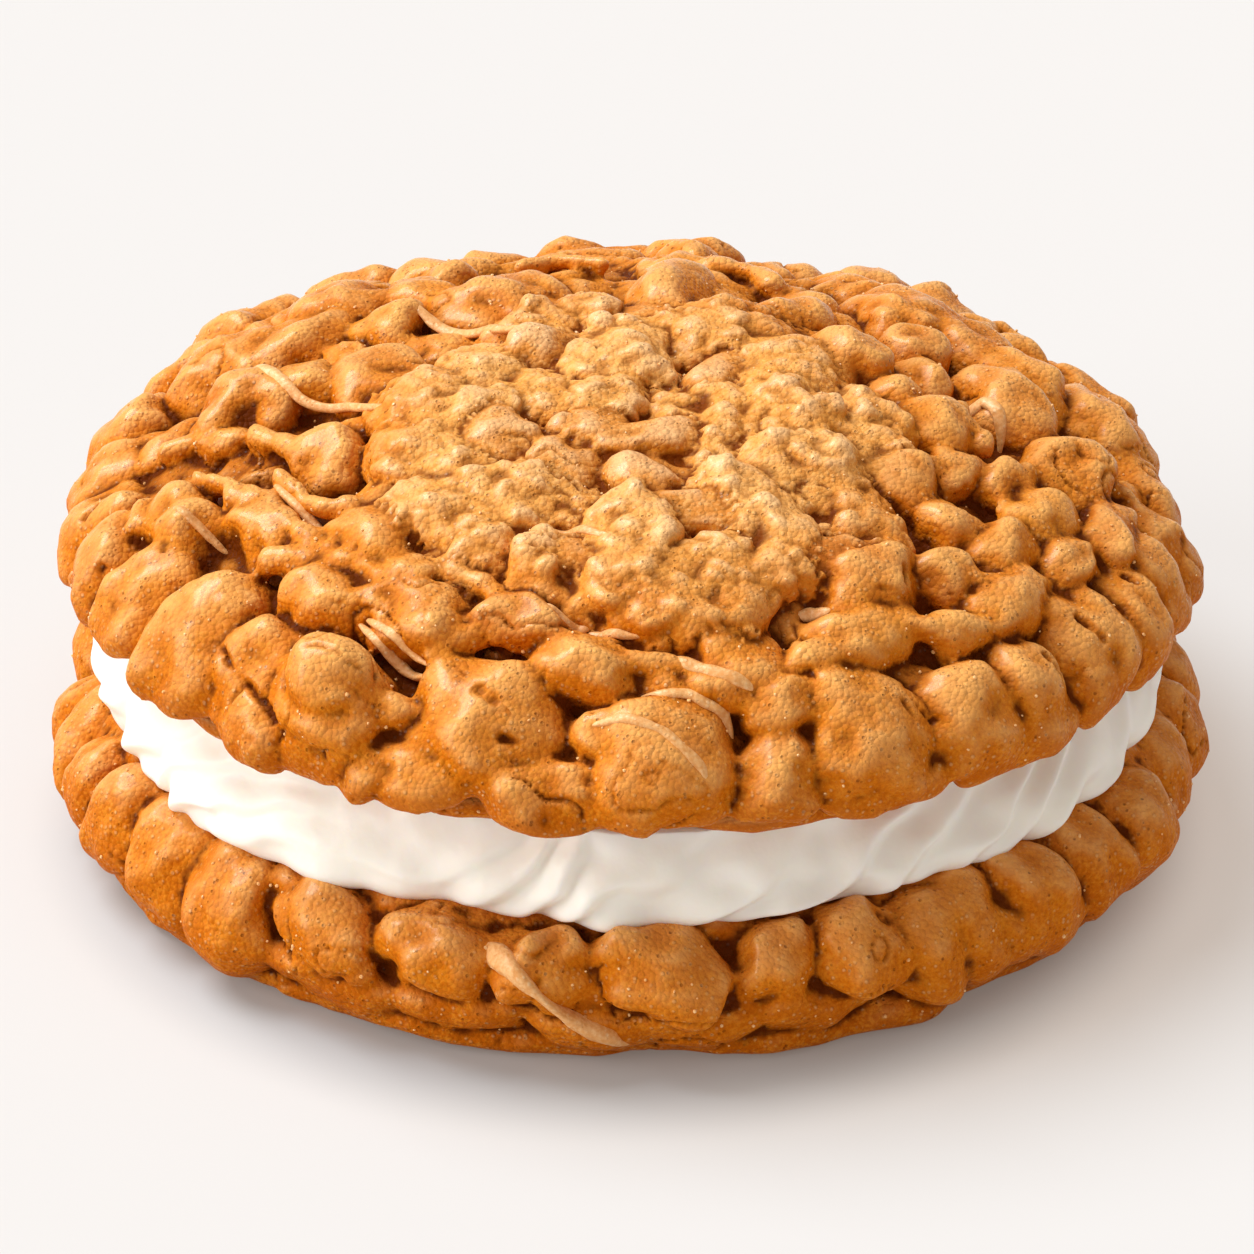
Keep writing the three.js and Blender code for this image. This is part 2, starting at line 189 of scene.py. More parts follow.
def bottomLine(inset=0.0):
    side = pie["bottomRadius"] - inset
    across, up = side - pie["bedRadius"], pie["bottomHeight"] - pie["bottomWidest"]
    shoulder = quarter(pie["bedRadius"], pie["bottomWidest"], across, up)
    edge = lowerEdge(side, pie["footRadius"], pie["bottomWidest"])
    return np.vstack([[[0, pie["bottomHeight"]]], shoulder, edge, [[0, 0]]])


def reachOf(line):
    return np.concatenate([[0], np.cumsum(np.linalg.norm(np.diff(line, axis=0), axis=1))])


def bentTo(line, angle, distance, u, w, h):
    # points u mm round, w mm down and h mm out from a place on a cookie, bent along its skin
    reach = reachOf(line)
    slope = np.gradient(line, reach, axis=0)
    slope /= np.linalg.norm(slope, axis=1)[:, None]
    middle = np.interp(distance, reach, line[:, 0])
    d = (distance + w).clip(0, reach[-1] - 0.5)
    r, z = (np.interp(d, reach, line[:, k]) for k in (0, 1))
    dr, dz = (np.interp(d, reach, slope[:, k]) for k in (0, 1))
    a = math.radians(angle) + u / middle
    return np.stack([(r - dz * h) * np.cos(a), (r - dz * h) * np.sin(a), z + dr * h], axis=1)


def localFrame(line, angle, distance):
    # a place on a cookie, and the directions round it, down it and out of it
    reach = reachOf(line)
    i = int(np.clip(np.searchsorted(reach, distance) - 1, 0, len(line) - 2))
    step = (line[i + 1] - line[i]) / (reach[i + 1] - reach[i])
    r, z = line[i] + step * (distance - reach[i])
    c, s = math.cos(math.radians(angle)), math.sin(math.radians(angle))
    place = np.array([r * c, r * s, z])
    around = np.array([-s, c, 0.0])
    down = np.array([step[0] * c, step[0] * s, step[1]])
    out = np.array([-step[1] * c, -step[1] * s, step[0]])
    return place, around, down, out


# lumps of dough

def unitBalls(levels, girthwise, lengthways):
    # slightly squared balls; the higher lengthways is, the more they are fingers with blunt ends
    balls = {}
    for level in levels:
        bm = bmesh.new()
        bmesh.ops.create_icosphere(bm, subdivisions=level, radius=1)
        verts = np.array([v.co for v in bm.verts])
        faces = np.array([[v.index for v in f.verts] for f in bm.faces])
        bm.free()
        size = np.abs(verts)
        girth = (size[:, 0] ** girthwise + size[:, 2] ** girthwise) ** (1 / girthwise)
        reach = (girth ** lengthways + size[:, 1] ** lengthways) ** (1 / lengthways)
        balls[level] = verts / reach[:, None], faces
    return balls


ballOf = unitBalls((1, 2, 3, 4), 2.3, 2.3)
fingerOf = unitBalls((2, 3, 4), 2.8, 3.6)
chunkOf = unitBalls((2, 3, 4), 2.5, 2.7)
lumpForm = {
    "levels": ((3.4, 4), (1.2, 3), (0, 2)),  # a lump over this many mm gets a mesh of this level
    "broadDent": 1.2,  # dents to the length of a lump
    "smallDent": 3.1,
    "deepest": 6.0,
    "knuckle": {"lift": 0.4, "uneven": 0.15, "out": 0.98, "most": 0.45},
    "cord": {"step": 0.55, "uneven": 0.08, "grainy": 0.1},
}


class Heap:
    # gathers the lumps of one cookie, with a tone and a graininess for each
    def __init__(self, line):
        self.line = line
        self.parts = []
        self.looks = []
        self.spots = []
        self.lumps = []

    def addBody(self, verts, faces, tone, grainy):
        self.parts.append((verts, faces))
        self.looks.append((tone, grainy))

    def dented(self, size, uneven, shapes=ballOf):
        verts, faces = shapes[next(level for least, level in lumpForm["levels"] if size > least)]
        salt = len(self.parts) * 7.31
        warp = 1 + uneven * fractal(verts * lumpForm["broadDent"] + salt, 2, 5)
        warp = warp + 0.3 * uneven * noise3(verts * lumpForm["smallDent"] + salt, 9)
        return verts * warp[:, None], faces

    def addBall(self, centre, axes, uneven, tone, grainy):
        verts, faces = self.dented(np.linalg.norm(axes, axis=1).max(), uneven)
        self.addBody(centre + verts @ axes, faces, tone, grainy)

    def add(self, lump, turn=0.0, uneven=0.13, tone=0.5, grainy=0.2, shapes=ballOf):
        # a dented ball set in the surface, its top standing out of the profile by proud
        angle, distance, wide, long, thick, proud = lump
        place, around, down, out = localFrame(self.line, angle, distance)
        c, s = math.cos(turn), math.sin(turn)
        centre = place + out * (proud - thick)
        axes = np.array([(c * around + s * down) * wide, (c * down - s * around) * long, out * thick])
        if distance < 1.6 * max(wide, long) + 3:  # too near the middle to bend
            self.addBall(centre, axes, uneven, tone, grainy)
        else:
            verts, faces = self.dented(max(wide, long), uneven, shapes)
            u, w = verts[:, 0] * wide, verts[:, 1] * long
            h = (proud - thick + verts[:, 2] * thick).clip(-lumpForm["deepest"])
            verts = bentTo(self.line, angle, distance, c * u - s * w, s * u + c * w, h)
            self.addBody(verts, faces, tone, grainy)
        self.spots.append((place, 0.5 * (wide + long)))
        self.lumps.append((centre, axes, tone, grainy))

    def addKnuckles(self, each, sizes):
        # small lumps half sunk in the upper sides of the grainy ones
        form = lumpForm["knuckle"]
        for centre, axes, tone, grainy in [lump for lump in self.lumps if lump[3] > 0.5]:
            for _ in range(rng.poisson(each)):
                tip = rng.normal(size=3)
                tip[2] = abs(tip[2]) + form["lift"]
                tip /= np.linalg.norm(tip)
                size = sizes[0] + (sizes[1] - sizes[0]) * rng.random() ** 1.6
                size = min(size, form["most"] * np.linalg.norm(axes[0]))
                shape = np.diag(size * (0.8 + 0.5 * rng.random(3)))
                self.addBall(centre + tip @ axes * form["out"], shape, form["uneven"], tone, grainy)

    def addCord(self, route, radius, proud, tone):
        # a string of small balls along a route of angles and distances
        form = lumpForm["cord"]
        route = np.array(route, float)
        for (a0, d0), (a1, d1) in zip(route[:-1], route[1:]):
            p0, p1 = localFrame(self.line, a0, d0)[0], localFrame(self.line, a1, d1)[0]
            steps = max(2, int(np.linalg.norm(p1 - p0) / (form["step"] * radius)))
            for t in np.linspace(0, 1, steps):
                place, _, _, out = localFrame(self.line, a0 + (a1 - a0) * t, d0 + (d1 - d0) * t)
                shape = np.eye(3) * (radius * (0.85 + 0.3 * rng.random()))
                self.addBall(place + out * (proud - radius), shape, form["uneven"], tone, form["grainy"])

    def keepOpen(self, angle, distance, size):
        # a deep hole: no filling lump comes near it
        self.spots.append((localFrame(self.line, angle, distance)[0], size))

    def isFree(self, spot, size, room):
        return all(np.linalg.norm(spot - place) > room * (size + other) for place, other in self.spots)

    def looksAt(self, pts):
        # tone and graininess of the lump nearest to each point
        tree = KDTree(sum(len(v) for v, _ in self.parts))
        for owner, (verts, _) in enumerate(self.parts):
            for v in verts:
                tree.insert(v, owner)
        tree.balance()
        owner = np.array([tree.find(p)[1] for p in pts])
        return np.array(self.looks)[owner].T


def joined(parts):
    # several pieces of mesh as one
    faces, start = [], 0
    for v, f in parts:
        faces.append(f + start)
        start += len(v)
    return np.vstack([v for v, _ in parts]), np.vstack(faces)


def bandFaces(starts, count, turned=False):
    # triangles from each ring of points to the next, the rings given by their first points
    k = np.arange(count)
    n = (k + 1) % count
    faces = []
    for a, b in zip(starts[:-1], starts[1:]):
        if turned:
            corners = ((a + k, a + n, b + n), (a + k, b + n, b + k))
        else:
            corners = ((a + k, b + k, b + n), (a + k, b + n, a + n))
        faces += [np.stack(three, axis=1) for three in corners]
    return faces


def capFaces(start, tip, count, turned=False):
    # triangles from one ring of points to a single point
    k = np.arange(count)
    n = (k + 1) % count
    middle = np.full_like(k, tip)
    return np.stack([start + k, middle, start + n] if turned else [middle, start + k, start + n], axis=1)


def latheBody(line, segments):
    # closed body of revolution whose first and last profile points are on the axis
    turn = np.linspace(0, 2 * math.pi, segments, endpoint=False)
    inner = line[1:-1]
    rings = [np.stack([r * np.cos(turn), r * np.sin(turn), np.full(segments, z)], axis=1) for r, z in inner]
    verts = np.vstack([[[0, 0, line[0][1]]]] + rings + [[[0, 0, line[-1][1]]]])
    starts = 1 + segments * np.arange(len(inner))
    faces = [capFaces(1, 0, segments)] + bandFaces(starts, segments)
    faces.append(capFaces(starts[-1], len(verts) - 1, segments, turned=True))
    return verts, np.vstack(faces)


def ringBody(radius, height, across, up, segments=200, sides=16):
    # a smooth ring of dough that the lobes rest on
    turn = np.linspace(0, 2 * math.pi, segments, endpoint=False)
    wavy = radius + 0.35 * np.sin(9 * turn) + 0.25 * np.sin(23 * turn + 1)
    rows = []
    for a in np.linspace(0, 2 * math.pi, sides, endpoint=False):
        r = wavy + across * math.cos(a)
        z = np.full(segments, height + up * math.sin(a))
        rows.append(np.stack([r * np.cos(turn), r * np.sin(turn), z], axis=1))
    starts = segments * (np.arange(sides + 1) % sides)
    return np.vstack(rows), np.vstack(bandFaces(starts, segments, turned=True))


def meshFrom(name, verts, faces):
    verts, faces = np.asarray(verts, np.float32), np.asarray(faces, np.int32)
    mesh = bpy.data.meshes.new(name)
    mesh.vertices.add(len(verts))
    mesh.vertices.foreach_set("co", verts.ravel())
    mesh.loops.add(faces.size)
    mesh.loops.foreach_set("vertex_index", faces.ravel())
    mesh.polygons.add(len(faces))
    corners = faces.shape[1]
    mesh.polygons.foreach_set("loop_start", np.arange(0, faces.size, corners, dtype=np.int32))
    mesh.polygons.foreach_set("loop_total", np.full(len(faces), corners, np.int32))
    mesh.update(calc_edges=True)
    mesh.validate()
    return mesh


def applied(mesh, kind, **values):
    # the mesh with one modifier applied
    obj = bpy.data.objects.new("draft", mesh)
    bpy.context.scene.collection.objects.link(obj)
    modifier = obj.modifiers.new(kind.lower(), kind)
    for key, value in values.items():
        setattr(modifier, key, value)
    result = bpy.data.meshes.new_from_object(obj.evaluated_get(bpy.context.evaluated_depsgraph_get()))
    bpy.data.objects.remove(obj)
    bpy.data.meshes.remove(mesh)
    return result


# wander of the lumps: waves to the mm, salt and reach along the three axes
wander = {"broad": (0.12, 131, (0.8, 0.8, 0.35)), "small": (0.34, 141, (0.45, 0.45, 0.3))}
smoothing = {"steps": 2, "own": 0.4, "near": 0.6}


def drifted(pts, amount):
    # bends the lumps out of their regular shapes, in plan and a little in height
    shift = 0
    for waves, salt, reach in wander.values():
        shift = shift + fractals(pts * waves, 2, salt) * reach
    return pts + amount * shift


def fuse(heap, voxel, amount):
    # one skin round all the lumps
    verts, faces = joined(heap.parts)
    verts = drifted(verts, amount)
    start = 0
    for i, (v, f) in enumerate(heap.parts):
        heap.parts[i] = (verts[start:start + len(v)], f)
        start += len(v)
    verts[:, 2] = np.maximum(verts[:, 2], 0)
    mesh = applied(meshFrom("draft", verts, faces), "REMESH", mode="VOXEL", voxel_size=voxel)
    ends, pts = edgesOf(mesh), pointsOf(mesh)
    for _ in range(smoothing["steps"]):
        pts = smoothing["own"] * pts + smoothing["near"] * neighbourMean(pts, ends, len(pts))
    setPoints(mesh, pts)
    return mesh


def thinned(mesh, mostTriangles):
    triangles = sum(len(p.vertices) - 2 for p in mesh.polygons)
    if triangles <= mostTriangles:
        return mesh
    return applied(mesh, "DECIMATE", ratio=mostTriangles / triangles, use_collapse_triangulate=True)


def pointsOf(mesh):
    co = np.empty(len(mesh.vertices) * 3, np.float32)
    mesh.vertices.foreach_get("co", co)
    return co.reshape(-1, 3).astype(float)


def normalsOf(mesh):
    normals = np.empty(len(mesh.vertices) * 3, np.float32)
    mesh.vertices.foreach_get("normal", normals)
    return normals.reshape(-1, 3).astype(float)


def setPoints(mesh, pts):
    mesh.vertices.foreach_set("co", pts.astype(np.float32).ravel())
    mesh.update()


def setAttribute(mesh, name, values):
    layer = mesh.attributes.new(name, "FLOAT", "POINT")
    layer.data.foreach_set("value", values.astype(np.float32))


def edgesOf(mesh):
    ends = np.empty(len(mesh.edges) * 2, np.int32)
    mesh.edges.foreach_get("vertices", ends)
    return ends.reshape(-1, 2)


def neighbourMean(values, ends, count):
    a, b = ends[:, 0], ends[:, 1]
    near = np.maximum(np.bincount(a, minlength=count) + np.bincount(b, minlength=count), 1)
    columns = [np.bincount(a, v[b], count) + np.bincount(b, v[a], count) for v in values.T]
    return np.stack(columns, axis=1) / near[:, None]


def standing(mesh, steps):
    # how far each point stands out of its surroundings
    ends, pts, normals = edgesOf(mesh), pointsOf(mesh), normalsOf(mesh)
    mean = pts
    for _ in range(steps):
        mean = neighbourMean(mean, ends, len(pts))
    return ((pts - mean) * normals).sum(axis=1)


def depthUnder(line, pts, batch=20000):
    # distance of each point inside a profile, worked out in batches to spare memory
    dense = line[1:-1]
    normal = np.gradient(dense, axis=0)
    normal = np.stack([-normal[:, 1], normal[:, 0]], axis=1)
    normal /= np.linalg.norm(normal, axis=1)[:, None]
    flat = np.stack([np.hypot(pts[:, 0], pts[:, 1]), pts[:, 2]], axis=1)
    depth = np.zeros(len(pts))
    for start in range(0, len(pts), batch):
        part = flat[start:start + batch]
        gap = part[:, None, :] - dense[None]
        nearest = (gap ** 2).sum(axis=2).argmin(axis=1)
        own = gap[np.arange(len(part)), nearest]
        depth[start:start + batch] = -(own * normal[nearest]).sum(axis=1)
    return depth


detail = {
    "warp": {"amount": 0.5, "waves": 0.8, "salt": 31},
    "knobs": 1.5,
    "waves": {"smooth": 0.1, "grainy": 0.03, "waves": 0.4, "salt": 21},
    "cracks": {"waves": 0.24, "salt": 47, "width": 0.045, "depth": 0.3, "where": 0.14},
    "pits": {"apart": 3.6, "salt": 91, "rarity": 0.9, "depth": 0.3, "edge": (0.03, 0.12)},
}


def sculptSkin(mesh, grainy, shows, domes, marks=()):
    # domes, shallow waves, cracks, pits and the marks worked into the fused skin
    warp, waves, cracks, pits = (detail[key] for key in ("warp", "waves", "cracks", "pits"))
    pts, normals = pointsOf(mesh), normalsOf(mesh)
    push = np.zeros(len(pts))
    warped = pts + warp["amount"] * fractals(pts * warp["waves"], 1, warp["salt"])
    for k, (size, smooth, rough) in enumerate(domes):
        height = smooth + (rough - smooth) * grainy
        push += detail["knobs"] * height * knobs3(warped / size, 60 + 7 * k)
    push += (waves["smooth"] + waves["grainy"] * grainy) * fractal(pts * waves["waves"], 2, waves["salt"])
    line = np.exp(-(fractal(pts * cracks["waves"], 2, cracks["salt"]) / cracks["width"]) ** 2)
    line = line * smoothStep(noise3(pts * cracks["where"], cracks["salt"] + 1), 0.1, 0.5)
    push -= cracks["depth"] * line
    pit, owner = cells3(warped / pits["apart"], pits["salt"])
    push -= pits["depth"] * (owner > pits["rarity"]) * (1 - smoothStep(pit, *pits["edge"]))
    for spots, radius, depth in marks:
        near = np.min([np.linalg.norm(pts - spot, axis=1) for spot in spots], axis=0) / radius
        push -= depth * (1 - near ** 2).clip(0)
    setPoints(mesh, pts + normals * (push * shows)[:, None])


# the pale middle of the top: how far it reaches, by angle
patchEdge = {0: 17, 30: 13, 60: 11, 90: 11, 120: 12, 150: 15, 180: 17, 210: 24, 225: 30, 240: 33,
             255: 36, 270: 36, 285: 37, 300: 32, 315: 30, 330: 27, 345: 21}


def patchReach(angle):
    keys = sorted(patchEdge)
    values = [patchEdge[k] for k in keys]
    return np.interp(np.mod(angle, 360), keys + [360], values + [values[0]])


# Lumps: angle, distance, half width, half length, thickness, how proud of the profile
rimLobes = [
    (188, 49.0, 4.2, 6.4, 5.0, 0.0), (197.5, 49.6, 4.6, 5.6, 5.0, 0.2), (206.5, 47.6, 4.1, 6.7, 5.0, 0.2),
    (218.5, 47.2, 5.4, 7.4, 5.8, 0.6), (230.5, 48.4, 5.1, 6.6, 5.4, 0.2), (238, 45.6, 4.5, 3.8, 3.6, 1.1),
    (238.5, 51.8, 3.9, 3.0, 3.6, 0.0), (244, 51.2, 2.4, 3.4, 3.2, 0.0), (245.6, 45.4, 1.6, 1.4, 1.8, 0.1),
    (255, 45.6, 6.5, 6.3, 5.6, 0.8), (262, 51.2, 4.9, 3.2, 3.8, 0.3), (249.5, 51.4, 4.0, 3.4, 3.6, -0.2),
    (266.3, 45.4, 2.2, 2.1, 2.6, -0.1), (272.7, 48.3, 6.0, 6.3, 5.8, 0.9), (284, 49.9, 4.0, 4.4, 4.4, 0.1),
    (294, 47.6, 5.4, 5.3, 5.0, 0.8), (295, 52.6, 6.0, 2.6, 3.2, -0.4), (305.5, 48.2, 4.8, 5.0, 4.8, 0.5),
    (309, 52.6, 4.4, 3.0, 3.4, -0.3), (314, 49.2, 4.1, 5.6, 4.6, 0.1), (325, 48.5, 5.1, 6.4, 5.4, 0.4),
    (334.5, 49.2, 4.1, 6.4, 5.0, 0.0), (342.5, 49.4, 4.0, 6.6, 5.0, 0.3), (350.5, 49.8, 4.0, 6.2, 5.0, 0.1),
]
ringLumps = [
    (265, 40.4, 4.6, 3.7, 3.4, 0.2), (281.5, 40.4, 4.3, 3.6, 3.2, 0.1), (286, 44.8, 3.8, 2.4, 2.4, -0.1),
    (294, 41.4, 4.6, 2.6, 3.0, 0.1), (304, 35.2, 5.1, 4.0, 3.8, 0.6), (298, 40.0, 5.4, 2.8, 2.8, -0.1),
    (312, 42.2, 4.3, 2.1, 2.8, 0.1), (319, 42.2, 5.0, 2.4, 3.0, 0.3), (323.5, 33.0, 3.0, 3.3, 3.0, 0.2),
    (326.5, 27.0, 3.5, 3.2, 3.0, 0.2), (336, 29.6, 3.2, 2.4, 2.6, 0.1), (339.5, 33.6, 3.0, 2.3, 2.6, 0.1),
    (336, 38.0, 4.4, 2.8, 3.2, 0.2), (325, 37.6, 3.6, 2.7, 3.0, 0.2), (315, 37.4, 2.5, 2.6, 2.8, 0.1),
    (351, 39.2, 5.8, 4.1, 3.8, 0.4), (342.5, 43.6, 4.8, 2.8, 3.2, 0.1), (331, 42.4, 4.6, 2.2, 2.8, 0.1),
    (7.5, 18.3, 4.1, 3.8, 4.0, 1.2), (354.5, 22.7, 2.6, 2.5, 2.8, 0.4), (347, 26.9, 4.1, 3.5, 3.2, 0.5),
    (21, 26.9, 3.3, 2.8, 2.8, 0.4), (34, 28.7, 4.6, 3.8, 3.4, 0.5), (4.5, 33.0, 5.6, 3.6, 3.6, 0.4),
    (6.5, 25.4, 3.4, 2.6, 2.8, 0.3), (39, 17.7, 2.8, 3.8, 3.0, 0.5), (77, 13.9, 3.8, 7.8, 3.4, 0.5),
    (11, 42.6, 6.6, 3.8, 3.8, 0.3), (17.5, 36.3, 7.0, 3.6, 3.8, 0.4), (27.5, 34.5, 6.2, 4.2, 3.6, 0.3),
    (40, 33.0, 6.6, 5.6, 4.0, 0.4), (205, 28.0, 3.8, 3.2, 3.2, 0.3), (213, 36.9, 4.3, 3.3, 3.2, 0.2),
    (203, 41.6, 4.4, 3.0, 3.2, 0.3), (230, 39.9, 5.0, 2.8, 3.2, 0.2), (244, 38.7, 4.6, 3.2, 3.4, 0.4),
    (180.5, 34.2, 4.8, 4.4, 4.0, 0.7), (176.5, 28.2, 3.3, 3.0, 3.0, 0.3), (179.5, 22.1, 4.4, 3.8, 3.4, 0.5),
    (161, 38.3, 6.8, 5.4, 4.0, 0.4), (157, 31.5, 5.8, 3.8, 3.6, 0.4), (144.5, 32.6, 5.8, 5.4, 4.0, 0.5),
    (152.5, 24.6, 3.3, 3.6, 3.2, 0.3), (135.5, 27.6, 3.5, 5.8, 3.4, 0.4), (126, 18.8, 5.6, 5.4, 3.8, 0.6),
    (229, 32.7, 4.5, 3.5, 2.8, 0.2), (235, 35.6, 3.5, 2.3, 2.4, 0.1), (244, 31.2, 3.9, 3.4, 2.6, 0.1),
    (257, 31.5, 3.2, 3.8, 2.8, 0.3), (189, 13.7, 4.8, 3.8, 2.6, 0.4), (222, 10.5, 3.6, 3.4, 2.4, 0.3),
    (254, 8.6, 3.3, 3.8, 2.4, 0.3), (222.5, 22.8, 5.4, 3.8, 2.8, 0.4), (142, 10.4, 4.2, 3.8, 2.8, 0.5),
]

topCookie = {
    "voxel": 0.36,
    "drift": 1.0,
    "segments": 180,
    "ringInset": 4.4,
    "patchInset": 2.4,
    "ledge": {"radius": 43.8, "height": 1.5, "across": 1.5, "up": 1.4},
    # how the lumps of the tables are changed: moved down, wider, longer, longer by, thicker, prouder by
    "rim": (1.7, 1.1, 1.16, 0, 1.2, 0.4),
    "ring": (0, 1.1, 1.1, 0, 1.35, 0.7),
    "back": {"count": 19, "from": 0, "sweep": 180, "jitter": 0.55, "turn": 0.5, "thick": 6.2, "uneven": 0.14,
             "lobe": ((48, 2.4), (3.8, 1.9), (5.4, 2.6), (0.1, 1.1), (0.25, 0.5))},
    "button": (238, 46.4, 3.5, 3.2, 2.8, 3.4),  # the smooth round lump on the rim
    "seam": (179.5, 49.4, 4.6, 6.8, 6.0, 0.4),  # where the front and back lobes meet
    "mostTriangles": 194000,
    "domes": ((3.0, 0.05, 0.4), (1.45, 0.05, 0.4)),  # size in mm, height where smooth and where grainy
}
# pairs are the least value and what a whole draw adds to it
topFill = {
    "tries": 520,
    "reach": 47,
    "turn": 31,
    "smoothShare": 0.22,
    "patch": {"sizes": (5.4, 4.4, 3.4, 2.6), "room": 0.6, "thick": 0.85, "proud": (-0.5, 2.2)},
    "ring": {"sizes": (4.8, 4.0, 3.2, 2.6), "room": 0.72, "thick": 1.1, "proud": (-1.5, 1.7)},
    "floor": {"tries": 900, "reach": 52, "turn": 11, "size": (1.3, 1.2), "proud": (-3.5, 1.0)},
}
goldenAngle = 137.508


def drawn(pair, draw):
    return pair[0] + pair[1] * draw


def spiral(tries, reach, turn):
    # angles and distances spread evenly over a cookie
    for i in range(tries):
        yield i * goldenAngle + turn, reach * math.sqrt((i + 0.5) / tries)


def coreBody(shallow, deep, segments, weight):
    # what shows between the lumps: shallow under the pale middle, deep elsewhere
    near, faces = latheBody(shallow, segments)
    far, _ = latheBody(deep, segments)
    share = weight(near)[:, None]
    return near * share + far * (1 - share), faces


def patchShare(pts, soft=1.5):
    reach = patchReach(np.degrees(np.arctan2(pts[:, 1], pts[:, 0])))
    share = 1 - smoothStep(np.hypot(pts[:, 0], pts[:, 1]), reach - soft, reach + 0.3 * soft)
    return share * (pts[:, 2] > 4)


def lookOf(inPatch, draw):
    # tone, graininess and shape of a filling lump
    if inPatch and draw[3] < topFill["smoothShare"]:
        return 0.15, 0.1, ballOf
    tone = 0.35 + 0.6 * draw[4]
    if inPatch:
        return tone, 0.7 + 0.4 * draw[3], ballOf
    return tone, 0.05 + 0.3 * draw[3] ** 2, chunkOf if draw[3] > 0.4 else ballOf


def fillTop(heap):
    for fill, inPatch in ((topFill["patch"], True), (topFill["ring"], False)):
        for size in fill["sizes"]:
            for angle, distance in spiral(topFill["tries"], topFill["reach"], topFill["turn"] * size):
                draw = rng.random(5)
                if (distance < patchReach(angle) - 0.5 * size) != inPatch:
                    continue
                if not heap.isFree(localFrame(heap.line, angle, distance)[0], size, fill["room"]):
                    continue
                long = size * (0.65 + 0.95 * draw[0])
                lump = (angle, distance, size, long, fill["thick"] * size, drawn(fill["proud"], draw[1]))
                heap.add(lump, draw[2] * math.pi, 0.2, *lookOf(inPatch, draw))
    # a rough floor of small lumps down in the gaps
    fill = topFill["floor"]
    for angle, distance in spiral(fill["tries"], fill["reach"], fill["turn"]):
        draw = rng.random(4)
        if distance < patchReach(angle) - 2:
            continue
        size = drawn(fill["size"], draw[0])
        lump = (angle, distance, size, size * (0.8 + 0.5 * draw[1]), size, drawn(fill["proud"], draw[2]))
        heap.add(lump, draw[3] * 3, 0.15, 0.2, 0.5)


# thin cords of dough across the gaps, as routes of angle and distance
webs = [
    [(206, 32.3), (213.5, 32.4), (218.5, 31.8), (220, 30.5)], [(207, 35.3), (216, 35), (224.5, 35.9)],
    [(205.5, 36.9), (210.5, 35.4), (219.5, 35.9), (223.5, 36.4)], [(184, 40.8), (184.5, 38.3), (189, 34.8)],
    [(196, 38.2), (202, 36.5), (208.5, 36.3)], [(192, 32.8), (197, 30.6), (204, 29.5)],
    [(219, 39.5), (223, 37.5), (229, 36)], [(234, 39.5), (238, 37), (241, 34.5)],
    [(148, 38), (152, 35), (150, 31)], [(318, 44), (320, 41), (316, 39)],
    [(333, 35.5), (338, 36.5), (344, 35.5)], [(346, 31), (350, 29), (355, 28.5)],
    [(304, 40), (308, 42.5), (314, 43)], [(25, 31), (30, 31.5), (36, 30)], [(96, 24), (104, 27), (112, 26)],
    [(60, 25), (66, 28), (73, 27)], [(267, 42), (270, 40), (276, 41)], [(248, 42), (251, 39.5), (256, 38)],
    [(244, 33.5), (249, 34.5), (254, 36)], [(232, 38.5), (237, 39), (242, 41)],
]

def coiled(centre, start, turns, radius, shrink=0.75, steps=16):
    # route of a flat coil, or a ring where it doesn't shrink, round a place on the cookie
    route = []
    for t in np.linspace(0, 1, steps):
        a = math.radians(start + 360 * turns * t)
        r = radius * (1 - shrink * t)
        angle = centre[0] + math.degrees(r * math.cos(a) / centre[1])
        route.append((angle, centre[1] - r * math.sin(a)))
    return route


# smooth browner lumps in the pale middle: angle, distance, half width, half length
smoothLumps = [
    (281, 24.5, 4.6, 2.4), (277, 14.2, 4.8, 2.5), (254, 13.3, 3.6, 2.1), (272, 19.8, 3.6, 2.2),
    (259, 30.7, 2.9, 2.7), (302, 32.3, 3.2, 2.5), (338, 7.8, 4.0, 2.3), (256, 37, 4.0, 2.4),
    (80, 8, 3.6, 2.2),
]
# deep holes between the lumps: angle, distance, size
topHoles = [
    (198, 37.1, 2.6), (206, 36.9, 2.2), (204, 33.9, 2.4), (221, 37.3, 2.4), (188, 33.4, 2.2),
    (187, 28.5, 2.0), (214, 28.7, 2.0), (228, 36.8, 2.0), (235, 38.2, 1.8), (175.5, 28.7, 2.0),
    (160, 36.2, 1.8), (256, 39.6, 1.8), (270, 41.2, 1.6), (288, 39.0, 1.8), (350, 28.2, 2.0),
    (348, 32.0, 1.8), (319, 29.7, 2.0), (318, 34.7, 1.8), (333, 36.2, 1.8), (320, 43.6, 1.6),
    (312, 44.1, 1.6), (20, 31.5, 2.0), (60, 30, 2.0), (95, 27, 2.0), (125, 26, 1.8), (142, 27.5, 1.8),
]
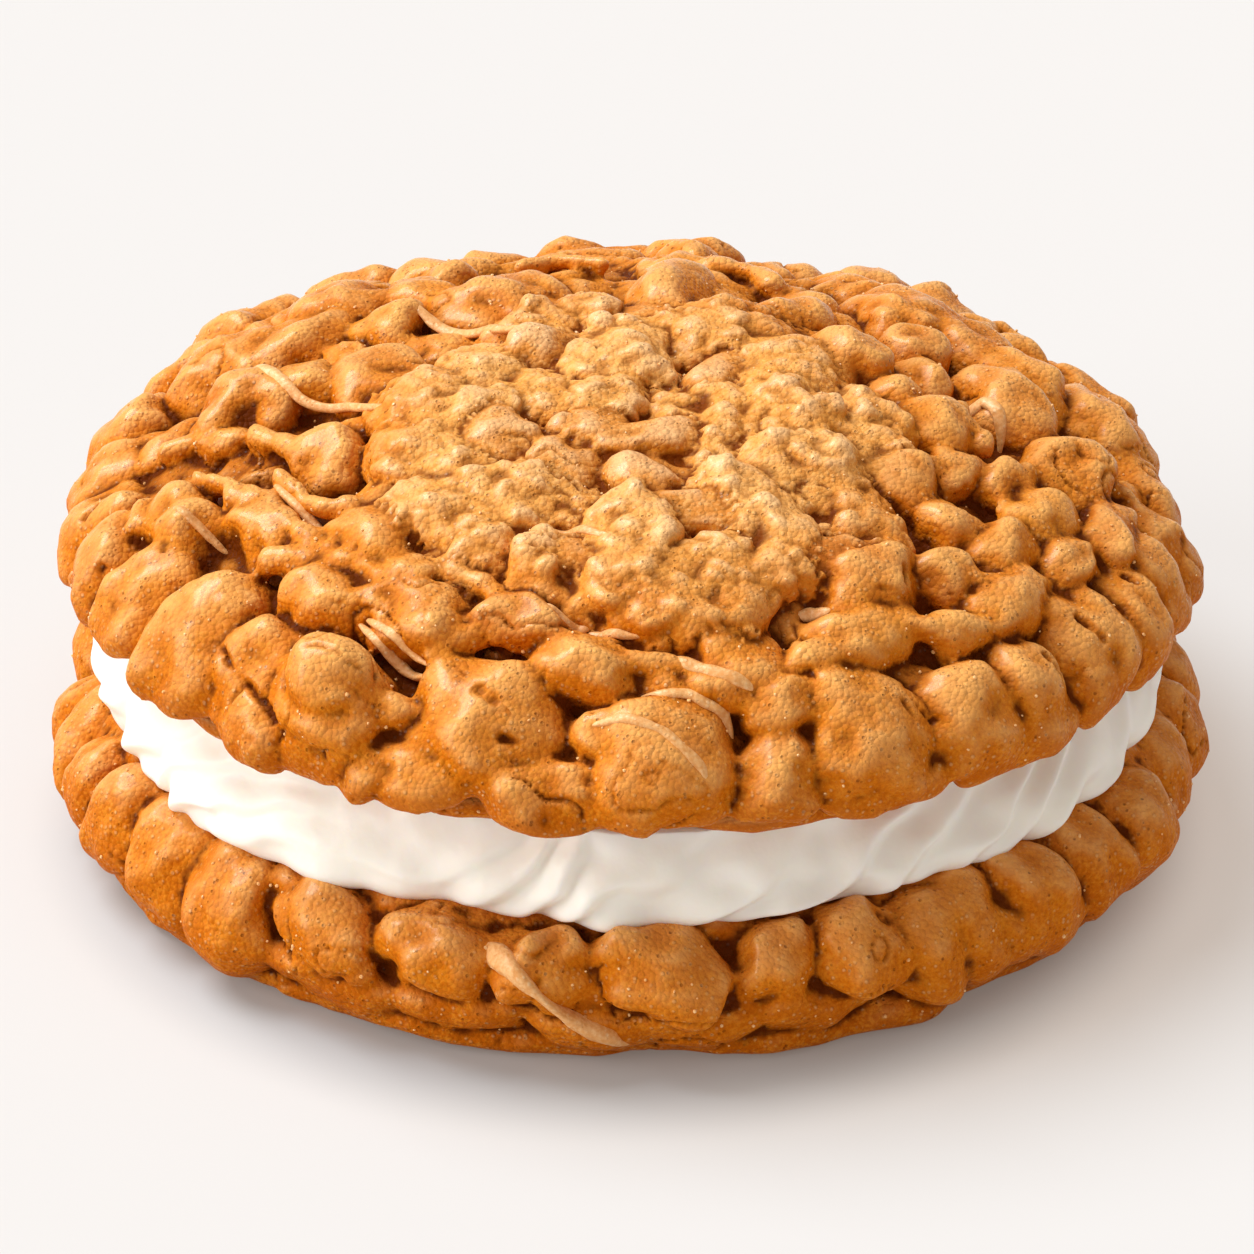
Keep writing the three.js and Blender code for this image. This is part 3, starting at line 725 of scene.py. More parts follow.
# cracks and dimples worked into the skin: route, half width, depth
topMarks = [
    ([(223, 47.3), (226, 48.4), (229, 49.1), (232, 49.9), (234, 51.0)], 0.35, 0.7),
    ([(229, 49.1), (228, 51.2)], 0.32, 0.6), ([(231.5, 47.6), (232, 49.9)], 0.3, 0.5),
    ([(254.4, 44.9), (255.6, 45.3)], 0.6, 0.9), ([(252.5, 45.9), (253.4, 46.7), (254.8, 46.9)], 0.32, 0.5),
    ([(257.5, 48.1), (259.5, 48.5), (261.5, 47.9)], 0.35, 0.6), ([(258, 49.5), (260.5, 49.7)], 0.32, 0.5),
    ([(280, 46.5), (279.7, 49.6), (280, 54)], 0.45, 1.0), ([(196, 47.2), (196.6, 49)], 0.3, 0.5),
    ([(201, 49.2), (201.5, 50.5)], 0.3, 0.5), ([(189, 47.5), (189.8, 49.3)], 0.3, 0.5),
    ([(324, 46.2), (324.6, 48.7)], 0.35, 0.6), ([(335, 44.9), (335.4, 47.5)], 0.35, 0.6),
    ([(298.5, 46.7), (299.5, 49.3)], 0.35, 0.5), ([(317, 47.1), (317.6, 49.7)], 0.35, 0.6),
    ([(209, 46.2), (211, 48.2)], 0.3, 0.5), ([(346, 46.7), (347, 49.3)], 0.3, 0.5),
    (coiled((238, 46.4), 0, 1, 3.5, 0), 0.4, 1.2), (coiled((305, 35.2), 60, 1.4, 2.9), 0.32, 0.6),
]


def marksOn(line, marks):
    # points along each mark, a little over the profile, so that it reaches wider than its line
    form = {"steps": 9, "lift": 0.5, "wider": 1.6}
    found = []
    for route, radius, depth in marks:
        angles, distances = alongRoute(route, form["steps"] * len(route))
        frames = [localFrame(line, a, d) for a, d in zip(angles, distances)]
        found.append(([p + out * form["lift"] for p, _, _, out in frames], radius * form["wider"], depth))
    return found


def alongRoute(route, count):
    # evenly spaced angles and distances along a route
    t = np.linspace(0, len(route) - 1, count)
    return [np.interp(t, np.arange(len(route)), column) for column in np.array(route, float).T]


def addPiece(name, mesh, place, material):
    mesh.transform(Matrix.Scale(mm, 4) @ place)
    mesh.name = name
    mesh.polygons.foreach_set("use_smooth", np.ones(len(mesh.polygons), bool))
    mesh.materials.clear()
    mesh.materials.append(material)
    obj = bpy.data.objects.new(name, mesh)
    bpy.context.scene.collection.objects.link(obj)
    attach(obj, "root")
    return obj


# shader helpers and the effects that several finishes share

def link(tree, a, b):
    tree.links.new(a, b)


def addNode(tree, kind, **values):
    node = tree.nodes.new(kind)
    for key, value in values.items():
        setattr(node, key, value)
    return node


def feed(tree, socket, value):
    if hasattr(value, "is_output"):
        link(tree, value, socket)
    elif isinstance(value, tuple) and socket.type == "RGBA":
        socket.default_value = (*value, 1)
    else:
        socket.default_value = value


def mixColour(tree, factor, a, b):
    node = addNode(tree, "ShaderNodeMix", data_type="RGBA")
    for index, value in ((0, factor), (6, a), (7, b)):
        feed(tree, node.inputs[index], value)
    return node.outputs[2]


def mathNode(tree, operation, *values):
    node = addNode(tree, "ShaderNodeMath", operation=operation)
    for socket, value in zip(node.inputs, values):
        feed(tree, socket, value)
    return node.outputs[0]


def times(tree, a, b):
    return mathNode(tree, "MULTIPLY", a, b)


def mapRange(tree, value, low, high, toLow=0.0, toHigh=1.0):
    node = addNode(tree, "ShaderNodeMapRange", interpolation_type="SMOOTHSTEP")
    labels = ("Value", "From Min", "From Max", "To Min", "To Max")
    for label, amount in zip(labels, (value, low, high, toLow, toHigh)):
        feed(tree, node.inputs[label], amount)
    return node.outputs["Result"]


def scaledNoise(tree, vector, perMm, detail, rough=0.5):
    node = addNode(tree, "ShaderNodeTexNoise")
    for label, value in (("Vector", vector), ("Scale", perMm / mm), ("Detail", detail), ("Roughness", rough)):
        feed(tree, node.inputs[label], value)
    return node.outputs["Fac"]


def scaledCells(tree, vector, perMm):
    node = addNode(tree, "ShaderNodeTexVoronoi")
    feed(tree, node.inputs["Vector"], vector)
    feed(tree, node.inputs["Scale"], perMm / mm)
    return node


def newGroup(name, inputs, outputs):
    group = bpy.data.node_groups.new(name, "ShaderNodeTree")
    for label, kind, value in inputs:
        socket = group.interface.new_socket(name=label, in_out="INPUT", socket_type=kind)
        if value is not None:
            socket.default_value = value
    for label, kind in outputs:
        group.interface.new_socket(name=label, in_out="OUTPUT", socket_type=kind)
    return group, group.nodes.new("NodeGroupInput"), group.nodes.new("NodeGroupOutput")


def placed(tree, group, **values):
    node = addNode(tree, "ShaderNodeGroup", node_tree=group)
    for label, value in values.items():
        feed(tree, node.inputs[label], value)
    return node


# waves or cells to the mm, and shares of the height
crumb = {
    "broad": 0.4, "fine": 2.4, "broadShare": 0.35, "fineShare": 0.65,
    "grains": 2.3, "knobs": 1.05,
    "height": {"fine": 0.6, "dome": 0.95, "fleck": 0.5, "pore": 1.1},
}


def makeCrumbGroup():
    # baked crumb: mottling, pale grains, small pores, which the dough paints dark as shade, and a fine height
    group, start, end = newGroup(
        "bakedCrumb",
        [("Vector", "NodeSocketVector", None), ("Grain", "NodeSocketFloat", 1.0),
         ("Knobs", "NodeSocketFloat", 0.0)],
        [("Mottle", "NodeSocketFloat"), ("Fleck", "NodeSocketFloat"), ("Pore", "NodeSocketFloat"),
         ("Height", "NodeSocketFloat")],
    )
    vector, share = start.outputs["Vector"], crumb["height"]
    broad = scaledNoise(group, vector, crumb["broad"], 2)
    fine = scaledNoise(group, vector, crumb["fine"], 3, 0.65)
    broadPart, finePart = times(group, broad, crumb["broadShare"]), times(group, fine, crumb["fineShare"])
    mottle = mathNode(group, "ADD", broadPart, finePart)
    link(group, mapRange(group, mottle, 0.36, 0.64), end.inputs["Mottle"])

    grains = scaledCells(group, vector, crumb["grains"])
    away = grains.outputs["Distance"]
    draw = addNode(group, "ShaderNodeSeparateColor")
    link(group, grains.outputs["Color"], draw.inputs[0])
    fleck = times(group, mapRange(group, away, 0.5, 0.2), mapRange(group, draw.outputs[0], 0.66, 0.95))
    link(group, fleck, end.inputs["Fleck"])
    pore = times(group, mapRange(group, away, 0.42, 0.12), mapRange(group, draw.outputs[1], 0.86, 0.94))
    link(group, pore, end.inputs["Pore"])

    dome = times(group, times(group, away, away), start.outputs["Grain"])
    height = mathNode(group, "SUBTRACT", times(group, fine, share["fine"]), times(group, dome, share["dome"]))
    height = mathNode(group, "ADD", height, times(group, fleck, share["fleck"]))
    height = mathNode(group, "SUBTRACT", height, times(group, pore, share["pore"]))
    away = scaledCells(group, vector, crumb["knobs"]).outputs["Distance"]
    knob = times(group, times(group, away, away), start.outputs["Knobs"])
    link(group, mathNode(group, "SUBTRACT", height, knob), end.inputs["Height"])
    return group


def makePaintedLightGroup():
    # painted shade and painted highlight: darker and redder in the creases, lighter where the dough stands
    # out
    group, start, end = newGroup(
        "paintedShadeAndHighlight",
        [("Color", "NodeSocketColor", (0.5, 0.25, 0.08, 1)), ("Crease", "NodeSocketFloat", 0.0),
         ("Crest", "NodeSocketFloat", 0.0), ("Crease Color", "NodeSocketColor", (0.2, 0.06, 0.01, 1)),
         ("Crest Color", "NodeSocketColor", (0.8, 0.5, 0.22, 1))],
        [("Color", "NodeSocketColor")],
    )
    crestHighlight = mixColour(group, start.outputs["Crest"], start.outputs["Color"], start.outputs["Crest Color"])
    both = mixColour(group, start.outputs["Crease"], crestHighlight, start.outputs["Crease Color"])
    link(group, both, end.inputs["Color"])
    return group


crumbGroup = makeCrumbGroup()
paintedLightGroup = makePaintedLightGroup()


def readAttribute(tree, name):
    return addNode(tree, "ShaderNodeAttribute", attribute_name=name).outputs["Fac"]


def newMaterial(name):
    material = bpy.data.materials.new(name)
    material.use_nodes = True
    tree = material.node_tree
    place = addNode(tree, "ShaderNodeTexCoord").outputs["Object"]
    return material, tree, tree.nodes["Principled BSDF"], place


def bumpFrom(tree, height, strength, distance, shader):
    bump = addNode(tree, "ShaderNodeBump")
    feed(tree, bump.inputs["Strength"], strength)
    feed(tree, bump.inputs["Distance"], distance * mm)
    link(tree, height, bump.inputs["Height"])
    link(tree, bump.outputs["Normal"], shader.inputs["Normal"])


def crumbMaterial(name, finish):
    # a material with the baked crumb's roughness and bump on it
    material, tree, shader, place = newMaterial(name)
    crumbed = placed(tree, crumbGroup, Vector=place, Grain=finish["grain"])
    rough = mapRange(tree, crumbed.outputs["Mottle"], 0.2, 0.8, *finish["rough"])
    link(tree, rough, shader.inputs["Roughness"])
    bumpFrom(tree, crumbed.outputs["Height"], *finish["bump"], shader)
    return material, tree, shader, crumbed


# rough runs from the dark to the light mottling; bump is its strength and its distance in mm
# the crease colours are painted shade for the creases and pores, the crest colours painted highlight for the
# crests
dough = {
    "rim": {"base": (0.61, 0.158, 0.004), "dark": (0.46, 0.094, 0.001), "light": (0.74, 0.25, 0.016),
            "crease": (0.085, 0.012, 0.0002), "crestHighlight": (0.98, 0.54, 0.165)},
    "patch": {"base": (0.76, 0.30, 0.040), "dark": (0.61, 0.18, 0.006), "light": (0.90, 0.45, 0.13),
              "crease": (0.15, 0.024, 0.0003), "crestHighlight": (0.98, 0.64, 0.33)},
    "fleck": (0.93, 0.55, 0.22),
    "fleckShare": 0.3,
    "poreShare": 0.42,
    "grain": 1.0,
    "rough": (0.5, 0.36),
    "bump": (0.75, 0.2),
    "specular": 0.03,
    "coatRough": 0.22,
    "coatCrest": 0.5,
    "coatFleck": 0.25,
}


def makeDough():
    material, tree, shader, crumbed = crumbMaterial("bakedDough", dough)
    mottle, fleck = crumbed.outputs["Mottle"], crumbed.outputs["Fleck"]
    pale, deep, tone, crestHighlight = (readAttribute(tree, name) for name in ("pale", "deep", "tone", "crestHighlight"))
    feed(tree, crumbed.inputs["Knobs"], mapRange(tree, pale, 0.0, 1.0, 0.12, 1.0))
    own = {key: mixColour(tree, pale, dough["rim"][key], dough["patch"][key]) for key in dough["rim"]}
    dark, light = own["dark"], own["light"]
    colour = mixColour(tree, mapRange(tree, tone, 0.55, 0.0, 0.0, 0.75), own["base"], dark)
    colour = mixColour(tree, mapRange(tree, tone, 0.55, 1.0, 0.0, 0.55), colour, light)
    colour = mixColour(tree, mapRange(tree, mottle, 0.5, 1.0, 0.0, 0.5), colour, light)
    colour = mixColour(tree, mapRange(tree, mottle, 0.5, 0.0, 0.0, 0.5), colour, dark)
    colour = mixColour(tree, times(tree, fleck, dough["fleckShare"]), colour, dough["fleck"])
    # painted shade: the creases and the pores take the crease colour, and the crests take the painted
    # highlight colour
    hollow = mathNode(tree, "MAXIMUM", deep, times(tree, crumbed.outputs["Pore"], dough["poreShare"]))
    withPaintedLight = placed(tree, paintedLightGroup, Color=colour, Crease=hollow, Crest=crestHighlight)
    link(tree, own["crease"], withPaintedLight.inputs["Crease Color"])
    link(tree, own["crestHighlight"], withPaintedLight.inputs["Crest Color"])
    link(tree, withPaintedLight.outputs["Color"], shader.inputs["Base Color"])
    shader.inputs["Specular IOR Level"].default_value = dough["specular"]
    # gloss on the crests and the pale grains, none down in the creases
    shallow = mapRange(tree, deep, 0.0, 0.4, 1.0, 0.0)
    gloss = times(tree, mapRange(tree, crestHighlight, 0.05, 0.5, 0.0, dough["coatCrest"]), shallow)
    gloss = mathNode(tree, "ADD", gloss, times(tree, fleck, dough["coatFleck"]))
    link(tree, gloss, shader.inputs["Coat Weight"])
    shader.inputs["Coat Roughness"].default_value = dough["coatRough"]
    return material


creamFinish = {
    "colours": ((0.97, 0.90, 0.79), (0.985, 0.945, 0.87)),
    "rough": (0.34, 0.48),
    "bump": (0.25, 0.25),
    "glow": 0.4,
    "glowRadius": (1.0, 0.75, 0.5),
    "glowScale": 2,
}


def makeCreamMaterial():
    material, tree, shader, place = newMaterial("whippedCream")
    cloud = scaledNoise(tree, place, 0.18, 2)
    fine = scaledNoise(tree, place, 0.8, 2)
    link(tree, mixColour(tree, cloud, *creamFinish["colours"]), shader.inputs["Base Color"])
    link(tree, mapRange(tree, fine, 0.3, 0.7, *creamFinish["rough"]), shader.inputs["Roughness"])
    bumpFrom(tree, fine, *creamFinish["bump"], shader)
    shader.inputs["Subsurface Weight"].default_value = creamFinish["glow"]
    shader.inputs["Subsurface Radius"].default_value = creamFinish["glowRadius"]
    shader.inputs["Subsurface Scale"].default_value = creamFinish["glowScale"] * mm
    return material


strandFinish = {
    "colours": ((0.72, 0.30, 0.07), (0.87, 0.48, 0.19)),
    "fleck": (0.95, 0.70, 0.40),
    "fleckShare": 0.4,
    "grain": 0.6,
    "rough": (0.5, 0.36),
    "bump": (0.5, 0.12),
}


def makeStrandMaterial():
    material, tree, shader, crumbed = crumbMaterial("paleDough", strandFinish)
    colour = mixColour(tree, crumbed.outputs["Mottle"], *strandFinish["colours"])
    fleck = times(tree, crumbed.outputs["Fleck"], strandFinish["fleckShare"])
    link(tree, mixColour(tree, fleck, colour, strandFinish["fleck"]), shader.inputs["Base Color"])
    return material


doughMaterial = makeDough()
strandMaterial = makeStrandMaterial()


# masks for the painted shade in the creases and the painted highlight on the crests
# each triple is an amount and the depths or heights, in mm, between which it sets in
masks = {
    "spread": (3, 12, 48),  # smoothing steps that the fine, middle and broad heights are measured over
    "crease": ((0.85, 0.9, 3.6), (0.6, 0.03, 0.4), (0.6, 0.015, 0.1), (0.3, 0.1, 0.9)),
    "crestHighlight": ((0.2, 0.01, 0.12), (0.25, 0.0, 0.45), (0.3, -0.1, 1.0)),
    "deepest": 0.95,
    "outside": (-0.3, 0.7),  # creases fade on what stands out of the profile by this much
    "highlightGain": 0.68,
    "highlightFrom": 0.12,
    "highlightMost": 0.6,
    "patchEdge": {"wander": 3.2, "waves": 0.2, "salt": 71, "soft": 7},
}


def weighed(measures, steps):
    return sum(amount * smoothStep(value, low, high) for value, (amount, low, high) in zip(measures, steps))


def paintDough(mesh, heap, inPatch):
    # colour masks read by the dough's finish: the pale middle, painted shade in the creases, the lumps' tone
    # and painted highlight on the crests
    pts = pointsOf(mesh)
    depth = depthUnder(heap.line, pts)
    fine, middle, broad = (standing(mesh, steps) for steps in masks["spread"])
    tone, _ = heap.looksAt(pts)
    edge, pale = masks["patchEdge"], np.zeros(len(pts))
    if inPatch:
        shift = edge["wander"] * fractal(pts * edge["waves"], 3, edge["salt"])
        pale = patchShare(pts + np.stack([shift, shift * 0.5, 0 * shift], axis=1), edge["soft"])
    # painted shade: darker deep under the profile and where the skin sinks below its surroundings
    crease = weighed((depth, -middle, -fine, -broad), masks["crease"])
    faded = np.where(depth > masks["outside"][0], 1, masks["outside"][1])
    # painted highlight: lighter where the skin stands out of its surroundings, and more so where it faces up
    up = smoothStep(normalsOf(mesh)[:, 2], -0.1, 0.95)
    crestHighlight = weighed((fine, middle, broad), masks["crestHighlight"]) * (0.3 + 0.7 * up) + 0.25 * up
    crestHighlight = masks["highlightGain"] * (crestHighlight - masks["highlightFrom"])
    setAttribute(mesh, "pale", pale)
    setAttribute(mesh, "deep", (crease * faded).clip(0, masks["deepest"]))
    # the lumps' tone, darker towards the bottom: painted shade on the lobes' lower sides, and browner baked
    # edges
    setAttribute(mesh, "tone", tone * (0.35 + 0.65 * smoothStep(pts[:, 2], 1.5, 8.0)))
    setAttribute(mesh, "crestHighlight", crestHighlight.clip(0, masks["highlightMost"]))


def grown(lump, growth):
    # a lump of the tables, swollen and moved
    angle, distance, wide, long, thick, proud = lump
    down, wider, longer, extra, thicker, prouder = growth
    return angle, distance + down, wide * wider, long * longer + extra, thick * thicker, proud + prouder


def addBackLobes(heap, form):
    # lobes round the back; each pair in lobe is the least value and what a whole draw adds to it
    for i in range(form["count"]):
        draw = rng.random(6)
        angle = form["from"] + form["sweep"] * (i + form["jitter"] * draw[0]) / form["count"]
        distance, wide, long, proud, tone = (drawn(pair, d) for pair, d in zip(form["lobe"], draw[1:]))
        turn = form["turn"] * draw[0] - 0.5 * form["turn"]
        lump = (angle, distance, wide, long, form["thick"], proud)
        heap.add(lump, turn, form["uneven"], tone, 0.12, fingerOf)


def finished(heap, form, shown, inPatch, marks=()):
    # the heap fused, worked over and painted
    mesh = fuse(heap, form["voxel"], form["drift"])
    print("fused:", len(heap.parts), "parts,", len(mesh.polygons), "faces")
    pts = pointsOf(mesh)
    _, grainy = heap.looksAt(pts)
    sculptSkin(mesh, grainy, shown(pts), form["domes"], marks)
    mesh = thinned(mesh, form["mostTriangles"])
    paintDough(mesh, heap, inPatch)
    print("finished:", len(mesh.polygons), "faces")
    return mesh


def makeTopCookie():
    print("top cookie: placing lumps")
    heap = Heap(topLine())
    shallow, deep = topLine(topCookie["patchInset"]), topLine(topCookie["ringInset"])
    heap.addBody(*coreBody(shallow, deep, topCookie["segments"], patchShare), 0.3, 0.6)
    heap.addBody(*ringBody(**topCookie["ledge"]), 0.4, 0.05)
    for lump in rimLobes:
        tone, turn = 0.3 + 0.4 * rng.random(), 0.1 * rng.normal()
        heap.add(grown(lump, topCookie["rim"]), turn, 0.12, tone, 0.1, fingerOf)
    addBackLobes(heap, topCookie["back"])
    for lump in ringLumps:
        draw = rng.random(2)
        inside = lump[1] < patchReach(lump[0]) - 2
        grainy = 0.85 if inside else 0.05 + 0.25 * draw[1] ** 2
        heap.add(grown(lump, topCookie["ring"]), 0.0, 0.16, 0.2 + 0.7 * draw[0], grainy, chunkOf)
    for lump in smoothLumps:
        heap.add((*lump, 2.2, 1.0), 0.3 * rng.normal(), 0.1, 0.05, 0.0, chunkOf)
    for hole in topHoles:
        heap.keepOpen(*hole)
    fillTop(heap)
    heap.addKnuckles(0.9, (0.7, 1.5))
    heap.add(topCookie["button"], tone=0.62, uneven=0.05)
    heap.add(topCookie["seam"], 0.0, 0.1, 0.5, 0.12, fingerOf)
    for route in webs:
        heap.addCord(route, 0.75 + 0.35 * rng.random(), 0.1 + 0.5 * rng.random(), 0.7)
    marks = marksOn(heap.line, topMarks)
    mesh = finished(heap, topCookie, lambda pts: smoothStep(pts[:, 2], 0.3, 1.6), True, marks)
    obj = addPiece("topCookie", mesh, topPlace, doughMaterial)
    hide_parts("top_cookie")
    return obj, heap


bottomLobes = [
    (184, 51.2, 3.7, 7.6, 5.0, 0.0), (192, 51.2, 3.7, 7.6, 5.0, 0.1), (199.5, 51.4, 3.4, 7.4, 4.8, 0.0),
    (208, 51.6, 4.3, 8.0, 5.2, 0.2), (217.5, 51.6, 4.4, 8.0, 5.2, 0.1), (227, 51.4, 4.5, 8.0, 5.2, 0.2),
    (239, 50.2, 6.0, 4.6, 4.6, 0.4), (240, 57.0, 6.4, 4.4, 3.6, -0.5), (252, 50.2, 5.5, 5.0, 4.8, 0.5),
    (253.5, 57.0, 6.0, 4.4, 3.6, -0.5), (262.5, 50.4, 3.8, 4.0, 4.0, 0.3), (266, 57.2, 5.6, 4.4, 3.6, -0.5),
    (272.5, 50.8, 5.8, 4.8, 4.8, 0.5), (277, 57.4, 5.8, 4.4, 3.6, -0.4), (284, 50.2, 4.6, 4.0, 4.0, 0.3),
    (288, 56.6, 5.6, 4.8, 3.8, -0.4), (293, 50.4, 4.3, 4.6, 4.4, 0.5), (300, 52.4, 3.9, 7.8, 4.8, 0.0),
    (307, 51.8, 3.6, 7.8, 4.8, 0.0), (314, 51.8, 4.0, 7.8, 5.0, 0.2), (323, 51.8, 4.4, 8.0, 5.2, 0.1),
    (333, 51.8, 4.5, 8.0, 5.2, 0.2), (343, 51.8, 4.5, 7.8, 5.2, 0.0), (353, 51.6, 4.5, 7.8, 5.2, 0.1),
]

bottomCookie = {
    "voxel": 0.38,
    "drift": 0.9,
    "segments": 180,
    "coreInset": 3.6,
    "lip": {"radius": 45.6, "height": 1.7, "across": 2.2, "up": 1.7},
    "upper": (-1.2, 1.12, 1, 0.6, 1.2, 0.8),
    "lower": (0.4, 1.12, 1.16, 0, 1.2, 0.4),
    "back": {"count": 18, "from": 2, "sweep": 177, "jitter": 0.5, "turn": 0.4, "thick": 6.2, "uneven": 0.13,
             "lobe": ((51.4, 1.8), (4.2, 1.7), (7.6, 2.4), (0.1, 0.9), (0.25, 0.5))},
    "crumbs": {"count": 200, "size": (1.0, 1.2), "distance": (44, 13), "proud": (-1.6, 1.2)},
    "pressed": (0.4, 0.1, 0.7),  # a margin round the cream, and how far lumps may rise inside and outside it
    "mostTriangles": 150000,
    "domes": ((2.4, 0.05, 0.25), (1.3, 0.05, 0.15)),
}


def addBottomLobe(heap, lump):
    # short lobes lie along the upper edge, the others lower down or over the whole height
    upper = lump[3] < 7 and lump[1] < 54
    tone, turn = 0.25 + 0.5 * rng.random(), (0.4 if upper else 0.2) * rng.normal()
    if upper:
        heap.add(grown(lump, bottomCookie["upper"]), turn, 0.24, tone, 0.12, ballOf)
    else:
        heap.add(grown(lump, bottomCookie["lower"]), turn, 0.15, tone, 0.12, fingerOf)


def pressFlat(heap):
    # no lump rises into the cream, and little rises beside it
    margin, inside, outside = bottomCookie["pressed"]
    top = pie["bottomHeight"]
    for v, _ in heap.parts:
        under = np.hypot(v[:, 0], v[:, 1]) < pie["creamRadius"] + margin
        v[:, 2] = np.minimum(v[:, 2], np.where(under, top + inside, top + outside))


def bottomShown(pts):
    return smoothStep(np.hypot(pts[:, 0], pts[:, 1]), 42, 45) * smoothStep(pts[:, 2], 0.2, 1.5)


def makeBottomCookie():
    print("bottom cookie: placing lobes")
    heap = Heap(bottomLine())
    core = latheBody(bottomLine(bottomCookie["coreInset"]), bottomCookie["segments"])
    heap.addBody(*core, 0.2, 0.5)
    heap.addBody(*ringBody(**bottomCookie["lip"]), 0.4, 0.1)
    for lump in bottomLobes:
        addBottomLobe(heap, lump)
    addBackLobes(heap, bottomCookie["back"])
    crumbs = bottomCookie["crumbs"]
    for _ in range(crumbs["count"]):
        draw = rng.random(6)
        size = drawn(crumbs["size"], draw[0])
        lump = (360 * draw[1], drawn(crumbs["distance"], draw[2]), size * 1.2, size, size,
                drawn(crumbs["proud"], draw[3]))
        heap.add(lump, draw[4] * math.pi, tone=0.3)
    pressFlat(heap)
    mesh = finished(heap, bottomCookie, bottomShown, False)
    obj = addPiece("bottomCookie", mesh, bottomPlace, doughMaterial)
    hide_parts("bottom_cookie")
    return obj, heap


cream = {
    "around": 900,
    "up": 50,
    "crowd": 1.15,  # rows lie closer together low down
    "lip": 1.9,  # height of the rounded lower edge
    "lipIn": 2.1,
    "topIn": 2.6,
    "topFrom": 2.5,
    "over": 0.2,
    "sag": 0.7,  # how far the edge drops below the bottom cookie's top
    "scallop": {"out": 0.3, "in": 0.65, "wide": 2.4},
    "folds": {"count": 36, "rise": 3.3, "drift": 1.05, "turn": 0.62, "depth": 0.9, "middle": 0.4,
              "least": 0.2},
    "dents": {"broad": 0.75, "small": 0.2, "edge": 0.45},
    "cusps": (181, 191, 201.5, 211, 221.5, 232, 242, 251.5, 262, 272.5, 283, 293, 303, 314, 324, 335,
              346, 357),
}


def scallops(angle, z, height):
    # soft scallops along the lower edge, mirrored roughly to the back
    form, cusps = cream["scallop"], cream["cusps"]
    cusps = np.array(cusps + tuple(c - 180 - 3 * (k % 2) for k, c in enumerate(cusps)))
    gap = np.abs((np.degrees(angle)[..., None] - cusps + 180) % 360 - 180).min(axis=-1)
    lower = 1 - smoothStep(z, 0.4, 0.55 * height)
    return lower * (form["out"] - form["in"] * np.exp(-(gap / form["wide"]) ** 2))


def creamFolds(angle, z, height, flat):
    # slanting folds left by the spreading knife, and broad soft dents
    form = cream["folds"]
    drift = fractal(flat * (0.07, 0.07, 0.10), 3, 81).reshape(z.shape)
    strong = smoothStep(fractal(flat * (0.05, 0.05, 0.08), 2, 83).reshape(z.shape), -0.5, 0.5)
    phase = form["count"] * angle / (2 * math.pi) - z / form["rise"] + form["drift"] * drift
    fold = phase - np.floor(phase)
    fold = smoothStep(fold, 0, form["turn"]) * (1 - smoothStep(fold, form["turn"], 1.0))
    strength = form["least"] + (1 - form["least"]) * strong
    calm = 1 - 0.6 * smoothStep(z, 0.7 * height, height)
    return form["depth"] * (fold - form["middle"]) * strength * calm + cream["dents"]["broad"] * drift


def makeCream():
    low = pie["bottomHeight"] - cream["sag"]
    height = pie["bottomHeight"] + pie["creamThickness"] - low + cream["over"]
    count, radius = cream["around"], pie["creamRadius"]
    turn = np.linspace(0, 2 * math.pi, count, endpoint=False)
    angle, share = np.meshgrid(turn, np.linspace(0, 1, cream["up"]))
    z = height * share ** cream["crowd"]
    edge = (1 - z / cream["lip"]).clip(0)
    r = radius - cream["lipIn"] * (1 - np.sqrt(1 - edge ** 2))
    r = r - cream["topIn"] * smoothStep(z, cream["topFrom"], height)
    flat = np.stack([radius * np.cos(angle), radius * np.sin(angle), z], axis=-1).reshape(-1, 3)
    r = r + scallops(angle, z, height) + creamFolds(angle, z, height, flat)
    r += cream["dents"]["small"] * fractal(flat * 0.25, 2, 87).reshape(r.shape)
    z = z - cream["dents"]["edge"] * edge * fractal(flat * 0.12, 2, 89).reshape(r.shape)
    x, y = r * np.cos(angle), r * np.sin(angle)
    lean = -math.tan(math.radians(pie["tilt"])) * x
    side = np.stack([x, y, low + z + lean * z / height], axis=-1)

    # flat faces, hidden between the cookies, close it
    inner, outer = (0.3, 0.3, 1), (0.7, 0.7, 1)
    rows = [side[0] * inner, side[0] * outer] + list(side) + [side[-1] * outer, side[-1] * inner]
    verts = np.vstack(rows + [[[0, 0, low]], [[0, 0, low + height]]])
    starts = count * np.arange(len(rows))
    faces = bandFaces(starts, count, turned=True)
    faces.append(capFaces(0, len(verts) - 2, count, turned=True))
    faces.append(capFaces(starts[-1], len(verts) - 1, count))
    mesh = meshFrom("creamLayer", verts, np.vstack(faces))
    obj = addPiece("creamLayer", mesh, bottomPlace, makeCreamMaterial())
    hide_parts("cream")
    print("cream:", len(obj.data.polygons), "faces")


topObj, topHeap = makeTopCookie()
bottomObj, bottomHeap = makeBottomCookie()
makeCream()


